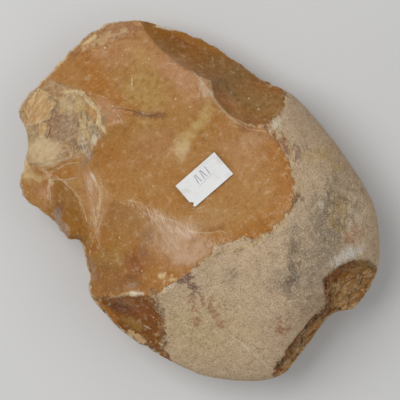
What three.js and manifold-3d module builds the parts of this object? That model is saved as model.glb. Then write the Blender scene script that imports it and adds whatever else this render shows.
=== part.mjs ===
// A stone hand axe: a flat flint nodule worked to a thin edge around its tip and sides, with the nodule's own
// rind left on the round butt, lying on its underside, and a small paper label glued on its largest scar.
// Millimetres. +Y points to the worked tip, +Z up from the resting face, +X across.

import * as THREE from 'three';
import { mergeVertices } from 'three/addons/utils/BufferGeometryUtils.js';
import Module from 'manifold-3d';

const wasm = await Module();
wasm.setup();

// ---- Driving dimensions ----

const HUB = [6, -12]; // place in plan from which bearings around the stone are taken
const WIDE = 50.5; // half width of the smooth nodule
const LONG = 68; // half length of the smooth nodule
const MIDDLE_Z = 20; // height of the plane between the two faces
const RISE = 25.5; // from that plane up to the upper face's crown
const DROP = 22.5; // and down to the underside's crown, before the resting flat is cut
const CROWN = [10, -17]; // highest place of the upper face, in plan
const KEEL = [3, -8]; // lowest place of the underside, in plan
const EDGE_Z = 19; // mean height of the edge that runs all round
const EDGE_LEAN = 4; // how far the edge climbs above and falls below that
const EDGE_HIGH = 190; // bearing at which it is highest, degrees
const SMOOTH_CORE = 0.6; // share of the way out to the edge over which the nodule stays a plain oval

const PLAN_STEPS = 4; // facets between two points of the edge
const RINGS = 28; // facets from keel to crown
const SCAR_DETAIL = 12; // subdivision of each flake's ellipsoid

const LABEL_PLACE = [7, 1.5]; // middle of the label, in plan
const LABEL_LONG = 17.5;
const LABEL_WIDE = 9.8;
const LABEL_TURN = -3; // degrees about +Z
const LABEL_THICK = 0.3;
const LABEL_GAP = 0.3; // clear space between the label and the stone
const LABEL_TEAR = [-8.2, -3.4, 1.5]; // a torn nick in its short edge: place on the label and half size

// The edge of the stone in plan, anticlockwise from the right side of the butt. The closed curve through these
// points has its steps and notches where the flakes of the left side broke out.
const EDGE = [
  [50.3, 1], [46.6, 14], [41, 38.5], [34, 51], [30.5, 57], // right side, straight and thin
  [20, 65.3], [12, 67.3], [-4, 66.5], [-22.5, 64.6], // broad tip
  [-25.6, 57.5], [-29.3, 51.2], [-34, 49.6], [-42, 44.6], [-43, 41], // step beside the patch
  [-41, 30], [-41.3, 20], [-39.2, 17], // left blade and its notch
  [-45.5, 5], [-49, 0.5], [-50.3, -12], [-47, -30], [-39, -49.5], // left side down to the rind
  [-21, -66.2], [-9, -65.2], [6.5, -63.3], [14, -66.8], // butt, hollow where a piece broke away
  [28, -63.6], [42, -49], [46, -39], [49.8, -16], // round right side of the butt
];

// Each flake left a shallow hollow, a piece of an ellipsoid. at: the hollow's middle. faces: the bearing that it
// looks to, and tilt: how far it leans that way from level, degrees. along: bearing of its first radius of
// curvature, and radii: the two radii. deep: half height of the ellipsoid, so how far the hollow can reach.
const UPPER_SCARS = {
  main: { at: [8, 4, 36.4], faces: 116, tilt: 6.5, along: -41, radii: [176, 60], deep: 34 },
  tipRight: { at: [14, 46, 28], faces: 76, tilt: 31.5, along: 112, radii: [300, 108], deep: 34 },
  rightHigh: { at: [36, 38, 20], faces: 19, tilt: 47.5, along: -51, radii: [330, 40], deep: 34 },
  rightLow: { at: [38, 12, 27], faces: 23, tilt: 51, along: -64, radii: [16, 270], deep: 34 },
  leftFace: { at: [-26, -3, 33.3], faces: 140, tilt: 21.8, along: -26, radii: [1800, 35.5], deep: 34 },
  leftLow: { at: [-43, -16, 28], faces: 188, tilt: 38.5, along: -71, radii: [95, 90], deep: 34 },
  leftHigh: { at: [-27, 26, 30], faces: 161, tilt: 34.8, along: 162, radii: [64, 185], deep: 34 },
  leftBlade: { at: [-35, 26, 24.3], faces: 162.5, tilt: 29.7, along: 62, radii: [89, 23], deep: 20 },
  leftCorner: { at: [-37, 41, 22.1], faces: 170.5, tilt: 26, along: 41, radii: [78, 73], deep: 34 },
  patch: { at: [-15, 50, 25.5], faces: 114, tilt: 29.5, along: 100, radii: [46, 140], deep: 34 },
};
const UNDER_SCARS = {
  tip: { at: [2, 44, 10.5], faces: 92, tilt: 159, along: 92, radii: [200, 110], deep: 34 },
  tipLeft: { at: [-24, 40, 12.5], faces: 140, tilt: 148, along: 140, radii: [80, 90], deep: 34 },
  left: { at: [-35, 14, 15.5], faces: 178, tilt: 140, along: 178, radii: [80, 60], deep: 34 },
  leftLow: { at: [-44, -12, 15], faces: 190, tilt: 132, along: 190, radii: [70, 60], deep: 34 },
  rightHigh: { at: [31, 36, 9], faces: 38, tilt: 147, along: 38, radii: [90, 80], deep: 34 },
  right: { at: [41, 8, 8], faces: 3, tilt: 142, along: 3, radii: [80, 70], deep: 34 },
  middle: { at: [6, 30, 4.2], faces: 85, tilt: 168, along: 85, radii: [120, 120], deep: 34 },
};

// Where a piece broke off the butt: a steep wall stands round a floor that slopes down to the edge. The line is the
// top of the wall in plan, closed beyond the stone.
const BREAK_LINE = [
  [36, -90], [31, -64], [29, -57], [25, -53.5], [20, -51.3], [12.3, -50.6], // round the deep end
  [10.3, -54.3], [7.6, -57.5], [-1.5, -58], [-9, -59], [-17, -60], [-24.5, -62.5], [-36, -90], // the narrow end
];
const BREAK_FLOOR = [-64, 22]; // a place on the floor: its y and z
const BREAK_CLIMB = 0.75; // how fast the floor climbs inwards from there
const WALL_RUN = 2.5; // width of the wall in plan
const WALL_HIGH = 8; // and its height

// ---- Small helpers ----

const radians = THREE.MathUtils.degToRad;
const mix = THREE.MathUtils.lerp;
const smooth = (x, low, high) => THREE.MathUtils.smoothstep(x, low, high);

/** 1 within half - soft degrees of a bearing, 0 beyond half + soft, and smooth between. */
function sector(bearing, middle, half, soft) {
  const away = Math.abs(THREE.MathUtils.euclideanModulo(bearing - middle + 180, 360) - 180);
  return 1 - smooth(away, half - soft, half + soft);
}

/** A closed manifold solid from a three.js geometry. */
function solidOf(geometry) {
  const bare = geometry.clone();
  bare.deleteAttribute('normal');
  bare.deleteAttribute('uv');
  const merged = mergeVertices(bare, 1e-4);
  return new wasm.Manifold(new wasm.Mesh({
    numProp: 3,
    vertProperties: new Float32Array(merged.attributes.position.array),
    triVerts: new Uint32Array(merged.index.array),
  }));
}

/** A three.js geometry from a manifold solid. */
function geometryOf(solid) {
  const { vertProperties, triVerts } = solid.getMesh();
  const geometry = new THREE.BufferGeometry();
  geometry.setAttribute('position', new THREE.BufferAttribute(vertProperties, 3));
  geometry.setIndex(new THREE.BufferAttribute(triVerts, 1));
  geometry.computeVertexNormals();
  return geometry;
}

// ---- The nodule before it was worked ----

const edgeCurve = new THREE.CatmullRomCurve3(
  EDGE.map(([x, y]) => new THREE.Vector3(x, y, 0)), true, 'centripetal');

/** The point of the smooth oval that lies in the direction of a point of the edge, seen from the hub. */
function ovalToward(point) {
  const dx = point.x - HUB[0];
  const dy = point.y - HUB[1];
  const a = (dx / WIDE) ** 2 + (dy / LONG) ** 2;
  const b = (dx * HUB[0]) / WIDE ** 2 + (dy * HUB[1]) / LONG ** 2;
  const c = (HUB[0] / WIDE) ** 2 + (HUB[1] / LONG) ** 2 - 1;
  const t = (-b + Math.sqrt(b * b - a * c)) / a;
  return { x: HUB[0] + dx * t, y: HUB[1] + dy * t };
}

/** How full the section is at a bearing: 2 is an ellipse, less is leaner and more is boxier. */
function fullness(bearing, up) {
  if (up) return 2.7 - 1.25 * sector(bearing, 212, 48, 42);
  return 1.55 + 0.95 * sector(bearing, 290, 110, 40);
}

/** A point of the nodule's surface: around is 0 to 1 along the edge, elevation is -90 to 90 degrees. */
function nodulePoint(around, elevation) {
  const edge = edgeCurve.getPoint(around);
  const oval = ovalToward(edge);
  const bearing = THREE.MathUtils.radToDeg(Math.atan2(edge.y - HUB[1], edge.x - HUB[0]));
  const up = elevation >= 0;
  const power = 2 / fullness(bearing, up);
  const out = Math.max(0, Math.cos(radians(elevation))) ** power;
  const height = Math.abs(Math.sin(radians(elevation))) ** power;
  const apex = up ? CROWN : KEEL;
  const sharp = smooth(out, SMOOTH_CORE, 1);
  const edgeZ = EDGE_Z + EDGE_LEAN * Math.cos(radians(bearing - EDGE_HIGH));
  return new THREE.Vector3(
    mix(apex[0], mix(oval.x, edge.x, sharp), out),
    mix(apex[1], mix(oval.y, edge.y, sharp), out),
    mix(MIDDLE_Z, edgeZ, out * out) + (up ? RISE : -DROP) * height,
  );
}

/** The whole nodule: a sphere's grid of longitude and latitude, moved on to the nodule's surface. */
function nodule() {
  const ball = new THREE.SphereGeometry(1, EDGE.length * PLAN_STEPS, RINGS);
  const { position, uv } = ball.attributes;
  for (let i = 0; i < position.count; i++) {
    const point = nodulePoint(THREE.MathUtils.euclideanModulo(uv.getX(i), 1), 180 * uv.getY(i) - 90);
    position.setXYZ(i, point.x, point.y, point.z);
  }
  return ball;
}

// ---- What the flakes took away ----

/** The ellipsoid of one scar, drawn in by shrink on every side. */
function scarTool({ at, faces, tilt, along, radii, deep }, shrink = 0) {
  const normal = new THREE.Vector3(0, 0, 1).applyEuler(new THREE.Euler(0, radians(tilt), 0));
  normal.applyAxisAngle(new THREE.Vector3(0, 0, 1), radians(faces));
  const first = new THREE.Vector3(Math.cos(radians(along)), Math.sin(radians(along)), 0);
  first.addScaledVector(normal, -first.dot(normal)).normalize();
  const second = new THREE.Vector3().crossVectors(normal, first);
  const halfSizes = [Math.sqrt(radii[0] * deep), Math.sqrt(radii[1] * deep), deep].map((half) => half - shrink);
  const tool = new THREE.IcosahedronGeometry(1, SCAR_DETAIL);
  tool.scale(...halfSizes);
  tool.applyMatrix4(new THREE.Matrix4().makeBasis(first, second, normal));
  tool.translate(...new THREE.Vector3(...at).addScaledVector(normal, deep));
  return tool;
}

/** The piece that broke off the butt, and everything over it. */
function breakTool() {
  const outline = new THREE.Shape(BREAK_LINE.map(([x, y]) => new THREE.Vector2(x, y)));
  const tool = new THREE.ExtrudeGeometry(outline, {
    depth: 2 * RISE, bevelSegments: 1, bevelThickness: WALL_HIGH, bevelSize: WALL_RUN, bevelOffset: -WALL_RUN });
  const [y, z] = BREAK_FLOOR;
  tool.translate(0, -y, WALL_HIGH);
  tool.applyMatrix4(new THREE.Matrix4().makeShear(0, 0, 0, BREAK_CLIMB, 0, 0));
  tool.translate(0, y, z);
  return tool;
}

/** Everything below the table, which takes a flat off the keel for the stone to rest on. */
function tableBlock() {
  const block = new THREE.BoxGeometry(4 * WIDE, 4 * LONG, DROP);
  block.translate(0, 0, -DROP / 2);
  return block;
}

function flintBody() {
  let stone = solidOf(nodule());
  for (const scar of [...Object.values(UPPER_SCARS), ...Object.values(UNDER_SCARS)]) {
    stone = stone.subtract(solidOf(scarTool(scar)));
  }
  for (const tool of [breakTool(), tableBlock()]) stone = stone.subtract(solidOf(tool));
  return geometryOf(stone);
}

// ---- The glued label ----

/** An upright prism over the label's outline. */
function labelColumn() {
  const column = new THREE.BoxGeometry(LABEL_LONG, LABEL_WIDE, 2 * RISE);
  const [x, y, half] = LABEL_TEAR;
  const tear = new THREE.CylinderGeometry(half, half, 3 * RISE, 6).rotateX(Math.PI / 2);
  tear.translate(x - half / 2, y, 0);
  const place = new THREE.Matrix4().makeRotationZ(radians(LABEL_TURN));
  place.setPosition(...LABEL_PLACE, MIDDLE_Z + RISE);
  const cut = solidOf(column).subtract(solidOf(tear));
  return geometryOf(cut).applyMatrix4(place);
}

/** A thin sheet that follows the hollow of the main scar, a little clear of it. */
function paperLabel() {
  const under = solidOf(scarTool(UPPER_SCARS.main, LABEL_GAP));
  const over = solidOf(scarTool(UPPER_SCARS.main, LABEL_GAP + LABEL_THICK));
  return geometryOf(under.subtract(over).intersect(solidOf(labelColumn())));
}

// ---- Materials and assembly ----

const flint = () => new THREE.MeshStandardMaterial({ color: 0xac7a41, roughness: 0.5, metalness: 0 });
const paper = () => new THREE.MeshStandardMaterial({ color: 0xe1e1de, roughness: 0.9, metalness: 0 });

function named(name, geometry, material) {
  const mesh = new THREE.Mesh(geometry, material);
  mesh.name = name;
  return mesh;
}

const handAxe = new THREE.Group();
handAxe.add(named('flint_body', flintBody(), flint()));
handAxe.add(named('paper_label', paperLabel(), paper()));

export default handAxe;
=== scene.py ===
"""The looks of a stone hand axe: one knapped flint with its rind left on the butt, and a glued paper label.

The stone is shaped as the real one was. A smooth nodule is drawn as a closed grid, each flake's hollow is cut
from it, small chips are struck along the worked edge, and the grain of each kind of surface is laid on top.
Shapes are worked out in millimetres and written to the meshes in metres.
"""

import logging
import math
from dataclasses import dataclass, field

import bmesh
import bpy
import numpy as np
from mathutils import Matrix, Vector


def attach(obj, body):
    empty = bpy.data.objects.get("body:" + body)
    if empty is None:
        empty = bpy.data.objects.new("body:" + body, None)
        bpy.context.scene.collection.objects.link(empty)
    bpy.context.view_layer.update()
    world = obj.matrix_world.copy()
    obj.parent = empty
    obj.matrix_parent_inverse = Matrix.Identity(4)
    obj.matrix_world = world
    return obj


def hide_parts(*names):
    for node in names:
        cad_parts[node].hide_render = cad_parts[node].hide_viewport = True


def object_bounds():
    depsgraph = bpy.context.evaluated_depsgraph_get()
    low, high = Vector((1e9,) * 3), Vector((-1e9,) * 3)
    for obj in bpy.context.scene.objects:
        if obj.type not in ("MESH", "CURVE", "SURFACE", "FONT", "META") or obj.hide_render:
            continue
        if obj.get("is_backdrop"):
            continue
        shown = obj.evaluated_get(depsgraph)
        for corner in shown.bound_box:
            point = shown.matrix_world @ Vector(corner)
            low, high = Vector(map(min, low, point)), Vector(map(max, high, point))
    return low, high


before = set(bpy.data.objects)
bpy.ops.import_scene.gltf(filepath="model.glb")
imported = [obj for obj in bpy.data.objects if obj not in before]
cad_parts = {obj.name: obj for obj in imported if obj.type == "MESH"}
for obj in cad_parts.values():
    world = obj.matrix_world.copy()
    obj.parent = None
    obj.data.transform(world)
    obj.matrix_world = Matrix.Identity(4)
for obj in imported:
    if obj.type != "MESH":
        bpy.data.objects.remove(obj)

log = logging.getLogger("hand_axe")

MM = 0.001
CAD_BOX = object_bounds()
FAR = 9.0  # further than any mark on the stone reaches

Points = np.ndarray
Values = np.ndarray
Colour = tuple[float, float, float]


# ---- Numbers ----


def smooth(x: Values, low: float, high: float) -> Values:
    """0 below low, 1 above high, and an S-shaped step between."""
    t = np.clip((x - low) / (high - low), 0.0, 1.0)
    return t * t * (3.0 - 2.0 * t)


def mix(a: Values, b: Values, share: Values) -> Values:
    """The value that lies that share of the way from a to b."""
    return a + (b - a) * share


def heading(degrees: float) -> np.ndarray:
    """The level unit vector at a bearing counted from +X towards +Y."""
    turn = math.radians(degrees)
    return np.array([math.cos(turn), math.sin(turn), 0.0])


def linear(red: int, green: int, blue: int) -> Colour:
    """A colour given as screen values from 0 to 255, as linear light."""
    shares = [value / 255.0 for value in (red, green, blue)]
    return tuple(s / 12.92 if s <= 0.04045 else ((s + 0.055) / 1.055) ** 2.4 for s in shares)


@dataclass
class Grain:
    """Smooth random values in space, alike on every run."""

    seed: int
    table_size: int = 4096
    slopes: np.ndarray = field(init=False)

    def __post_init__(self) -> None:
        """Draws the table of slopes that the lattice points pick from."""
        slopes = np.random.default_rng(self.seed).normal(size=(self.table_size, 3))
        self.slopes = slopes / np.linalg.norm(slopes, axis=1, keepdims=True)

    def drawn(self, lattice: Points) -> Points:
        """The random slope that belongs to each lattice point."""
        mixed = lattice * np.array([73856093, 19349663, 83492791])
        return self.slopes[(mixed[:, 0] ^ mixed[:, 1] ^ mixed[:, 2]) % self.table_size]

    def blocks(self, points: Points, size: float) -> tuple[Values, Values]:
        """Splits space into irregular blocks.

        Args:
            points: places, one a row.
            size: width of a block.

        Returns:
            A value from -1 to 1 for each place's block, and the distance to the block's border.
        """
        place = points / size
        cell = np.floor(place).astype(np.int64)
        first, second, own = np.full(len(place), FAR), np.full(len(place), FAR), np.zeros(len(place))
        for corner in np.ndindex(3, 3, 3):
            lattice = cell + np.array(corner) - 1
            slope = self.drawn(lattice)
            far = np.linalg.norm(place - lattice - 0.5 - 0.45 * slope, axis=1)
            closer = far < first
            second = np.where(closer, first, np.minimum(second, far))
            own = np.where(closer, slope[:, 0], own)
            first = np.where(closer, far, first)
        return own, (second - first) * size / 2

    def at(self, points: Points, size: float) -> Values:
        """Gradient noise.

        Args:
            points: places, one a row.
            size: width of one bump.

        Returns:
            A value from about -1 to 1 for each place.
        """
        place = points / size
        cell = np.floor(place).astype(np.int64)
        inside = place - cell
        fade = inside**3 * (inside * (inside * 6 - 15) + 10)
        total = np.zeros(len(points))
        for corner in np.ndindex(2, 2, 2):
            step = np.array(corner)
            rise = ((inside - step) * self.drawn(cell + step)).sum(axis=1)
            total += rise * np.prod(np.where(step, fade, 1 - fade), axis=1)
        return 1.6 * total

    def layers(self, points: Points, size: float, count: int, keep: float = 0.5) -> Values:
        """Several layers of noise, each half the width of the last and keep times as strong."""
        return sum(keep**n * self.at(points + 31.7 * n, size / 2**n) for n in range(count))


# ---- Meshes ----


def as_mesh(sheet: bmesh.types.BMesh, name: str) -> bpy.types.Mesh:
    """Turns a bmesh into a mesh and frees it."""
    mesh = bpy.data.meshes.new(name)
    sheet.to_mesh(mesh)
    sheet.free()
    return mesh


def put(name: str, data: bpy.types.ID) -> bpy.types.Object:
    """Adds an object with this data to the scene."""
    made = bpy.data.objects.new(name, data)
    bpy.context.scene.collection.objects.link(made)
    return made


def vectors(mesh: bpy.types.Mesh, kind: str) -> Points:
    """The co or the normal of every vertex, one a row."""
    rows = np.empty(len(mesh.vertices) * 3)
    mesh.vertices.foreach_get(kind, rows)
    return rows.reshape(-1, 3)


def write_values(mesh: bpy.types.Mesh, name: str, values: Values) -> None:
    """Writes one number at each vertex."""
    attribute = mesh.attributes.new(name, "FLOAT", "POINT")
    attribute.data.foreach_set("value", values.astype(np.float32))


# ---- The stone's form ----


@dataclass(frozen=True)
class Nodule:
    """The flat flint nodule before it was worked, lying along +Y."""

    hub: tuple[float, float] = (6.0, -12.0)
    half_wide: float = 50.5
    half_long: float = 68.0
    middle_z: float = 20.0
    rise: float = 25.5
    drop: float = 22.5
    crown: tuple[float, float] = (10.0, -17.0)
    keel: tuple[float, float] = (3.0, -8.0)
    edge_z: float = 19.0
    edge_lean: float = 4.0
    edge_high: float = 190.0
    smooth_core: float = 0.6
    # A program thinned these points from 57 typed landmarks; this is an open fault.
    edge: tuple[tuple[float, float], ...] = (
        (50.3, 1), (46.6, 14), (41, 38.5), (34, 51), (30.5, 57),  # right side, straight and thin
        (20, 65.3), (12, 67.3), (-4, 66.5), (-22.5, 64.6),  # broad tip
        (-25.6, 57.5), (-29.3, 51.2), (-34, 49.6), (-42, 44.6), (-43, 41),  # step beside the patch
        (-41, 30), (-41.3, 20), (-39.2, 17),  # left blade and its notch
        (-45.5, 5), (-49, 0.5), (-50.3, -12), (-47, -30), (-39, -49.5),  # left side down to the rind
        (-21, -66.2), (-9, -65.2), (6.5, -63.3), (14, -66.8),  # butt, hollow where a piece broke away
        (28, -63.6), (42, -49), (46, -39), (49.8, -16),  # round right side of the butt
    )

    def edge_line(self, steps: int = 24) -> Points:
        """The closed curve of the edge in plan.

        Args:
            steps: points drawn between two of the edge's points.

        Returns:
            Its points, two columns.
        """
        given = np.array(self.edge, float)
        share = np.linspace(0, 1, steps, endpoint=False)[:, None]
        drawn = []
        for i in range(len(given)):
            before, start, end, after = (given[(i + k) % len(given)] for k in (-1, 0, 1, 2))
            pairs = ((before, start), (start, end), (end, after))
            gap_in, gap, gap_out = (math.dist(a, b) ** 0.5 for a, b in pairs)
            slope = ((start - before) / gap_in - (end - before) / (gap_in + gap) + (end - start) / gap) * gap
            leave = ((end - start) / gap - (after - start) / (gap + gap_out) + (after - end) / gap_out) * gap
            bend = -3 * start + 3 * end - 2 * slope - leave
            twist = 2 * start - 2 * end + slope + leave
            drawn.append(start + slope * share + bend * share**2 + twist * share**3)
        return np.vstack(drawn)

    def edge_at(self, bearing: Values) -> Points:
        """The edge's points in the given directions from the hub, in radians."""
        line = self.edge_line()
        known = np.arctan2(line[:, 1] - self.hub[1], line[:, 0] - self.hub[0])
        order = np.argsort(known)
        columns = [np.interp(bearing, known[order], line[order, k], period=2 * math.pi) for k in (0, 1)]
        return np.stack(columns, axis=-1)

    def oval_at(self, bearing: Values) -> Points:
        """The smooth oval's points in the given directions from the hub, in radians."""
        way = np.stack([np.cos(bearing), np.sin(bearing)], axis=-1)
        half = np.array([self.half_wide, self.half_long])
        hub = np.array(self.hub)
        a = ((way / half) ** 2).sum(-1)
        b = (way * hub / half**2).sum(-1)
        c = ((hub / half) ** 2).sum() - 1
        reach = (-b + np.sqrt(b * b - a * c)) / a
        return hub + way * reach[:, None]

    @staticmethod
    def sector(bearing: Values, middle: float, half: float, soft: float) -> Values:
        """1 within half - soft degrees of a bearing, 0 beyond half + soft, and smooth between."""
        away = np.abs((np.degrees(bearing) - middle + 180) % 360 - 180)
        return 1 - smooth(away, half - soft, half + soft)

    def fullness(self, bearing: Values, up: np.ndarray) -> Values:
        """How full the section is: 2 is an ellipse, less is leaner and more is boxier."""
        over = 2.7 - 1.25 * self.sector(bearing, 212, 48, 42)
        under = 1.55 + 0.95 * self.sector(bearing, 290, 110, 40)
        return np.where(up, over, under)

    def skin(self, turn: Values, out: Values, up: np.ndarray) -> tuple[Points, Points]:
        """Places on the nodule, and for each one a place deep inside to look at it from.

        Args:
            turn: angle round the plan oval, radians.
            out: 0 at the crown or keel, 1 at the edge.
            up: whether the place is on the upper face.

        Returns:
            The surface points and the inner points.
        """
        on_oval = np.stack([self.half_wide * np.cos(turn), self.half_long * np.sin(turn)], axis=-1)
        bearing = np.arctan2(on_oval[:, 1] - self.hub[1], on_oval[:, 0] - self.hub[0])
        full = self.fullness(bearing, up)
        share = out ** (full / 2)
        lean = 0.5 * math.pi * share / (share + (1 - out) ** (full / 2))
        reach = np.sin(lean) ** (2 / full)
        height = np.maximum(np.cos(lean), 0) ** (2 / full)
        sharp = smooth(reach, self.smooth_core, 1.0)[:, None]
        edge = mix(self.oval_at(bearing), self.edge_at(bearing), sharp)
        apex = np.where(up[:, None], self.crown, self.keel)
        edge_z = self.edge_z + self.edge_lean * np.cos(bearing - math.radians(self.edge_high))
        middle = mix(self.middle_z, edge_z, reach**2)
        level = middle + np.where(up, self.rise, -self.drop) * height
        surface = np.column_stack([mix(apex, edge, reach[:, None]), level])
        inner = np.column_stack([mix(apex, edge, 0.85 * reach[:, None]), middle])
        return surface, inner


@dataclass(frozen=True)
class Scar:
    """The shallow hollow that one flake left: a piece of an ellipsoid, cut from the nodule."""

    name: str
    at: tuple[float, float, float]
    faces: float
    tilt: float
    along: float
    radii: tuple[float, float]
    deep: float = 34.0
    tone: Colour = (0.4, 0.2, 0.05)
    struck_from: tuple[float, float] = (0.0, 80.0)
    ripple: float = 0.0

    def axes(self) -> tuple[np.ndarray, np.ndarray]:
        """The hollow's outward direction, and the rows that turn a place into the ellipsoid's own units."""
        lean = math.radians(self.tilt)
        normal = heading(self.faces) * math.sin(lean) + np.array([0, 0, math.cos(lean)])
        first = heading(self.along)
        first = first - normal * first.dot(normal)
        first /= np.linalg.norm(first)
        second = np.cross(normal, first)
        half = [math.sqrt(self.radii[0] * self.deep), math.sqrt(self.radii[1] * self.deep), self.deep]
        return normal, np.stack([first / half[0], second / half[1], normal / half[2]])

    def entry(self, start: Points, way: Points) -> Values:
        """Where rays enter the hollow.

        Args:
            start: where each ray starts.
            way: where it goes, with the length of the whole ray.

        Returns:
            The share of each ray's length at which it enters, or infinity.
        """
        normal, rows = self.axes()
        centre = np.array(self.at) + normal * self.deep
        begin = (start - centre) @ rows.T
        go = way @ rows.T
        a = (go * go).sum(1)
        b = (begin * go).sum(1)
        spare = b * b - a * ((begin * begin).sum(1) - 1)
        share = (-b - np.sqrt(np.maximum(spare, 0))) / a
        return np.where((spare > 0) & (share > 0), share, np.inf)

    def height(self, x: Values, y: Values) -> Values:
        """The height of the hollow's floor, seen from above."""
        start = np.column_stack([x, y, np.full_like(x, -200.0)])
        way = np.zeros_like(start)
        way[:, 2] = 400.0
        return -200.0 + 400.0 * self.entry(start, way)


# ---- Colours ----


GOLD = linear(164, 104, 34)
ROSE = linear(184, 138, 102)
OLIVE = linear(158, 122, 58)
MOSS = linear(118, 90, 46)
CREAM = linear(208, 180, 132)
BONE = linear(222, 208, 184)
STRAW = linear(194, 164, 104)
TAN = linear(172, 134, 86)
UMBER = linear(96, 58, 28)
RED = linear(142, 72, 32)
PLUM = linear(118, 84, 72)
ASH = linear(146, 126, 110)
SLATE = linear(112, 104, 94)
SAND = linear(190, 166, 120)
MUD = linear(128, 112, 88)
SHADOW = linear(84, 64, 44)
HONEY = linear(168, 118, 62)
AMBER = linear(148, 98, 44)
SANDY = linear(198, 171, 138)
CHALK = linear(208, 180, 152)
BROWN = linear(204, 154, 94)
GLUE = linear(148, 102, 40)
RUSSET = linear(150, 90, 40)
# painted shadow for the butt break's steep wall
PAINTED_WALL_SHADOW = linear(58, 32, 18)


# ---- The scars ----


# Each upper scar's place in plan was given one by one. Its height, bearings, tilt and radii are a solver's
# least-squares fit to typed ridge, rim and height points, rounded; this is an open fault.
UPPER_SCARS = (
    Scar("main", (8, 4, 36.4), 116, 6.5, -41, (176, 60),
         tone=linear(169, 120, 60), struck_from=(-60, 30), ripple=0.05),
    Scar("tip_right", (14, 46, 28), 76, 31.5, 112, (300, 108),
         tone=linear(166, 118, 64), struck_from=(18, 78), ripple=0.05),
    Scar("right_high", (36, 38, 20), 19, 47.5, -51, (330, 40),
         tone=linear(146, 92, 20), struck_from=(60, 46), ripple=0.04),
    Scar("right_low", (38, 12, 27), 23, 51, -64, (16, 270),
         tone=linear(140, 93, 28), struck_from=(62, 20), ripple=0.04),
    Scar("left_face", (-26, -3, 33.3), 140, 21.8, -26, (1800, 35.5),
         tone=linear(160, 108, 48), struck_from=(-60, 12), ripple=0.06),
    Scar("left_low", (-43, -16, 28), 188, 38.5, -71, (95, 90),
         tone=linear(116, 66, 14), struck_from=(-64, -16), ripple=0.05),
    Scar("left_high", (-27, 26, 30), 161, 34.8, 162, (64, 185),
         tone=linear(174, 128, 74), struck_from=(-54, 34), ripple=0.06),
    Scar("left_blade", (-35, 26, 24.3), 162.5, 29.7, 62, (89, 23), 20.0,
         tone=linear(140, 92, 26), struck_from=(-52, 26), ripple=0.05),
    Scar("left_corner", (-37, 41, 22.1), 170.5, 26, 41, (78, 73),
         tone=linear(164, 118, 66), struck_from=(-54, 46), ripple=0.04),
    Scar("patch", (-15, 50, 25.5), 114, 29.5, 100, (46, 140),
         tone=linear(174, 146, 110), struck_from=(-20, 78)),
)
UNDER_SCARS = (
    Scar("under_tip", (2, 44, 10.5), 92, 159, 92, (200, 110),
         tone=HONEY, struck_from=(4, 84), ripple=0.09),
    Scar("under_tip_left", (-24, 40, 12.5), 140, 148, 140, (80, 90),
         tone=AMBER, struck_from=(-50, 62), ripple=0.08),
    Scar("under_left", (-35, 14, 15.5), 178, 140, 178, (80, 60),
         tone=HONEY, struck_from=(-62, 14), ripple=0.08),
    Scar("under_left_low", (-44, -12, 15), 190, 132, 190, (70, 60),
         tone=AMBER, struck_from=(-66, -14), ripple=0.06),
    Scar("under_right_high", (31, 36, 9), 38, 147, 38, (90, 80),
         tone=HONEY, struck_from=(54, 58), ripple=0.08),
    Scar("under_right", (41, 8, 8), 3, 142, 3, (80, 70),
         tone=AMBER, struck_from=(68, 10), ripple=0.08),
    Scar("under_middle", (6, 30, 4.2), 85, 168, 85, (120, 120),
         tone=HONEY, struck_from=(4, 84), ripple=0.06),
)


@dataclass(frozen=True)
class Break:
    """Where a piece broke off the butt: a steep wall, and a floor that slopes out to the edge."""

    wall: tuple[tuple[float, float], ...] = (
        (36, -90), (31, -64), (29, -57), (25, -53.5), (20, -51.3), (12.3, -50.6),  # round the deep end
        (10.3, -54.3), (7.6, -57.5), (-1.5, -58), (-9, -59),  # the narrow end
        (-17, -60), (-24.5, -62.5), (-36, -90),
    )
    floor_at: tuple[float, float] = (-64.0, 22.0)
    climb: float = 0.75
    wall_run: float = 2.5
    wall_high: float = 8.0

    def within(self, plan: Points) -> Values:
        """How far inside the wall's line each place in plan lies, below 0 outside it."""
        return Plot(self.wall).within(plan)

    def floor(self, plan: Points) -> Values:
        """The height that the stone is left with at each place in plan."""
        rise = self.wall_high / self.wall_run * np.maximum(0, self.wall_run - self.within(plan))
        return self.floor_at[1] + self.climb * (plan[:, 1] - self.floor_at[0]) + rise

    def entry(self, start: Points, way: Points, steps: int = 90, reach: float = 1.3) -> Values:
        """Where rays come out through the broken face.

        Args:
            start: where each ray starts.
            way: where it goes, with the length of the whole ray.
            steps: places looked at along a ray.
            reach: how much of the ray's length is looked at.

        Returns:
            The share of each ray's length at which it comes out, or infinity.
        """
        near = np.nonzero(start[:, 1] + reach * way[:, 1] < max(y for _, y in self.wall))[0]
        found = np.full(len(start), np.inf)
        before = np.full(len(near), -1.0)
        for share in np.linspace(0, reach, steps):
            at = start[near] + share * way[near]
            above = at[:, 2] - self.floor(at[:, :2])
            out = (above > 0) & ~np.isfinite(found[near])
            back = above[out] / np.maximum(above[out] - before[out], 1e-9)
            found[near[out]] = share - np.clip(back, 0, 1) * reach / (steps - 1)
            before = above
        return found


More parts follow.
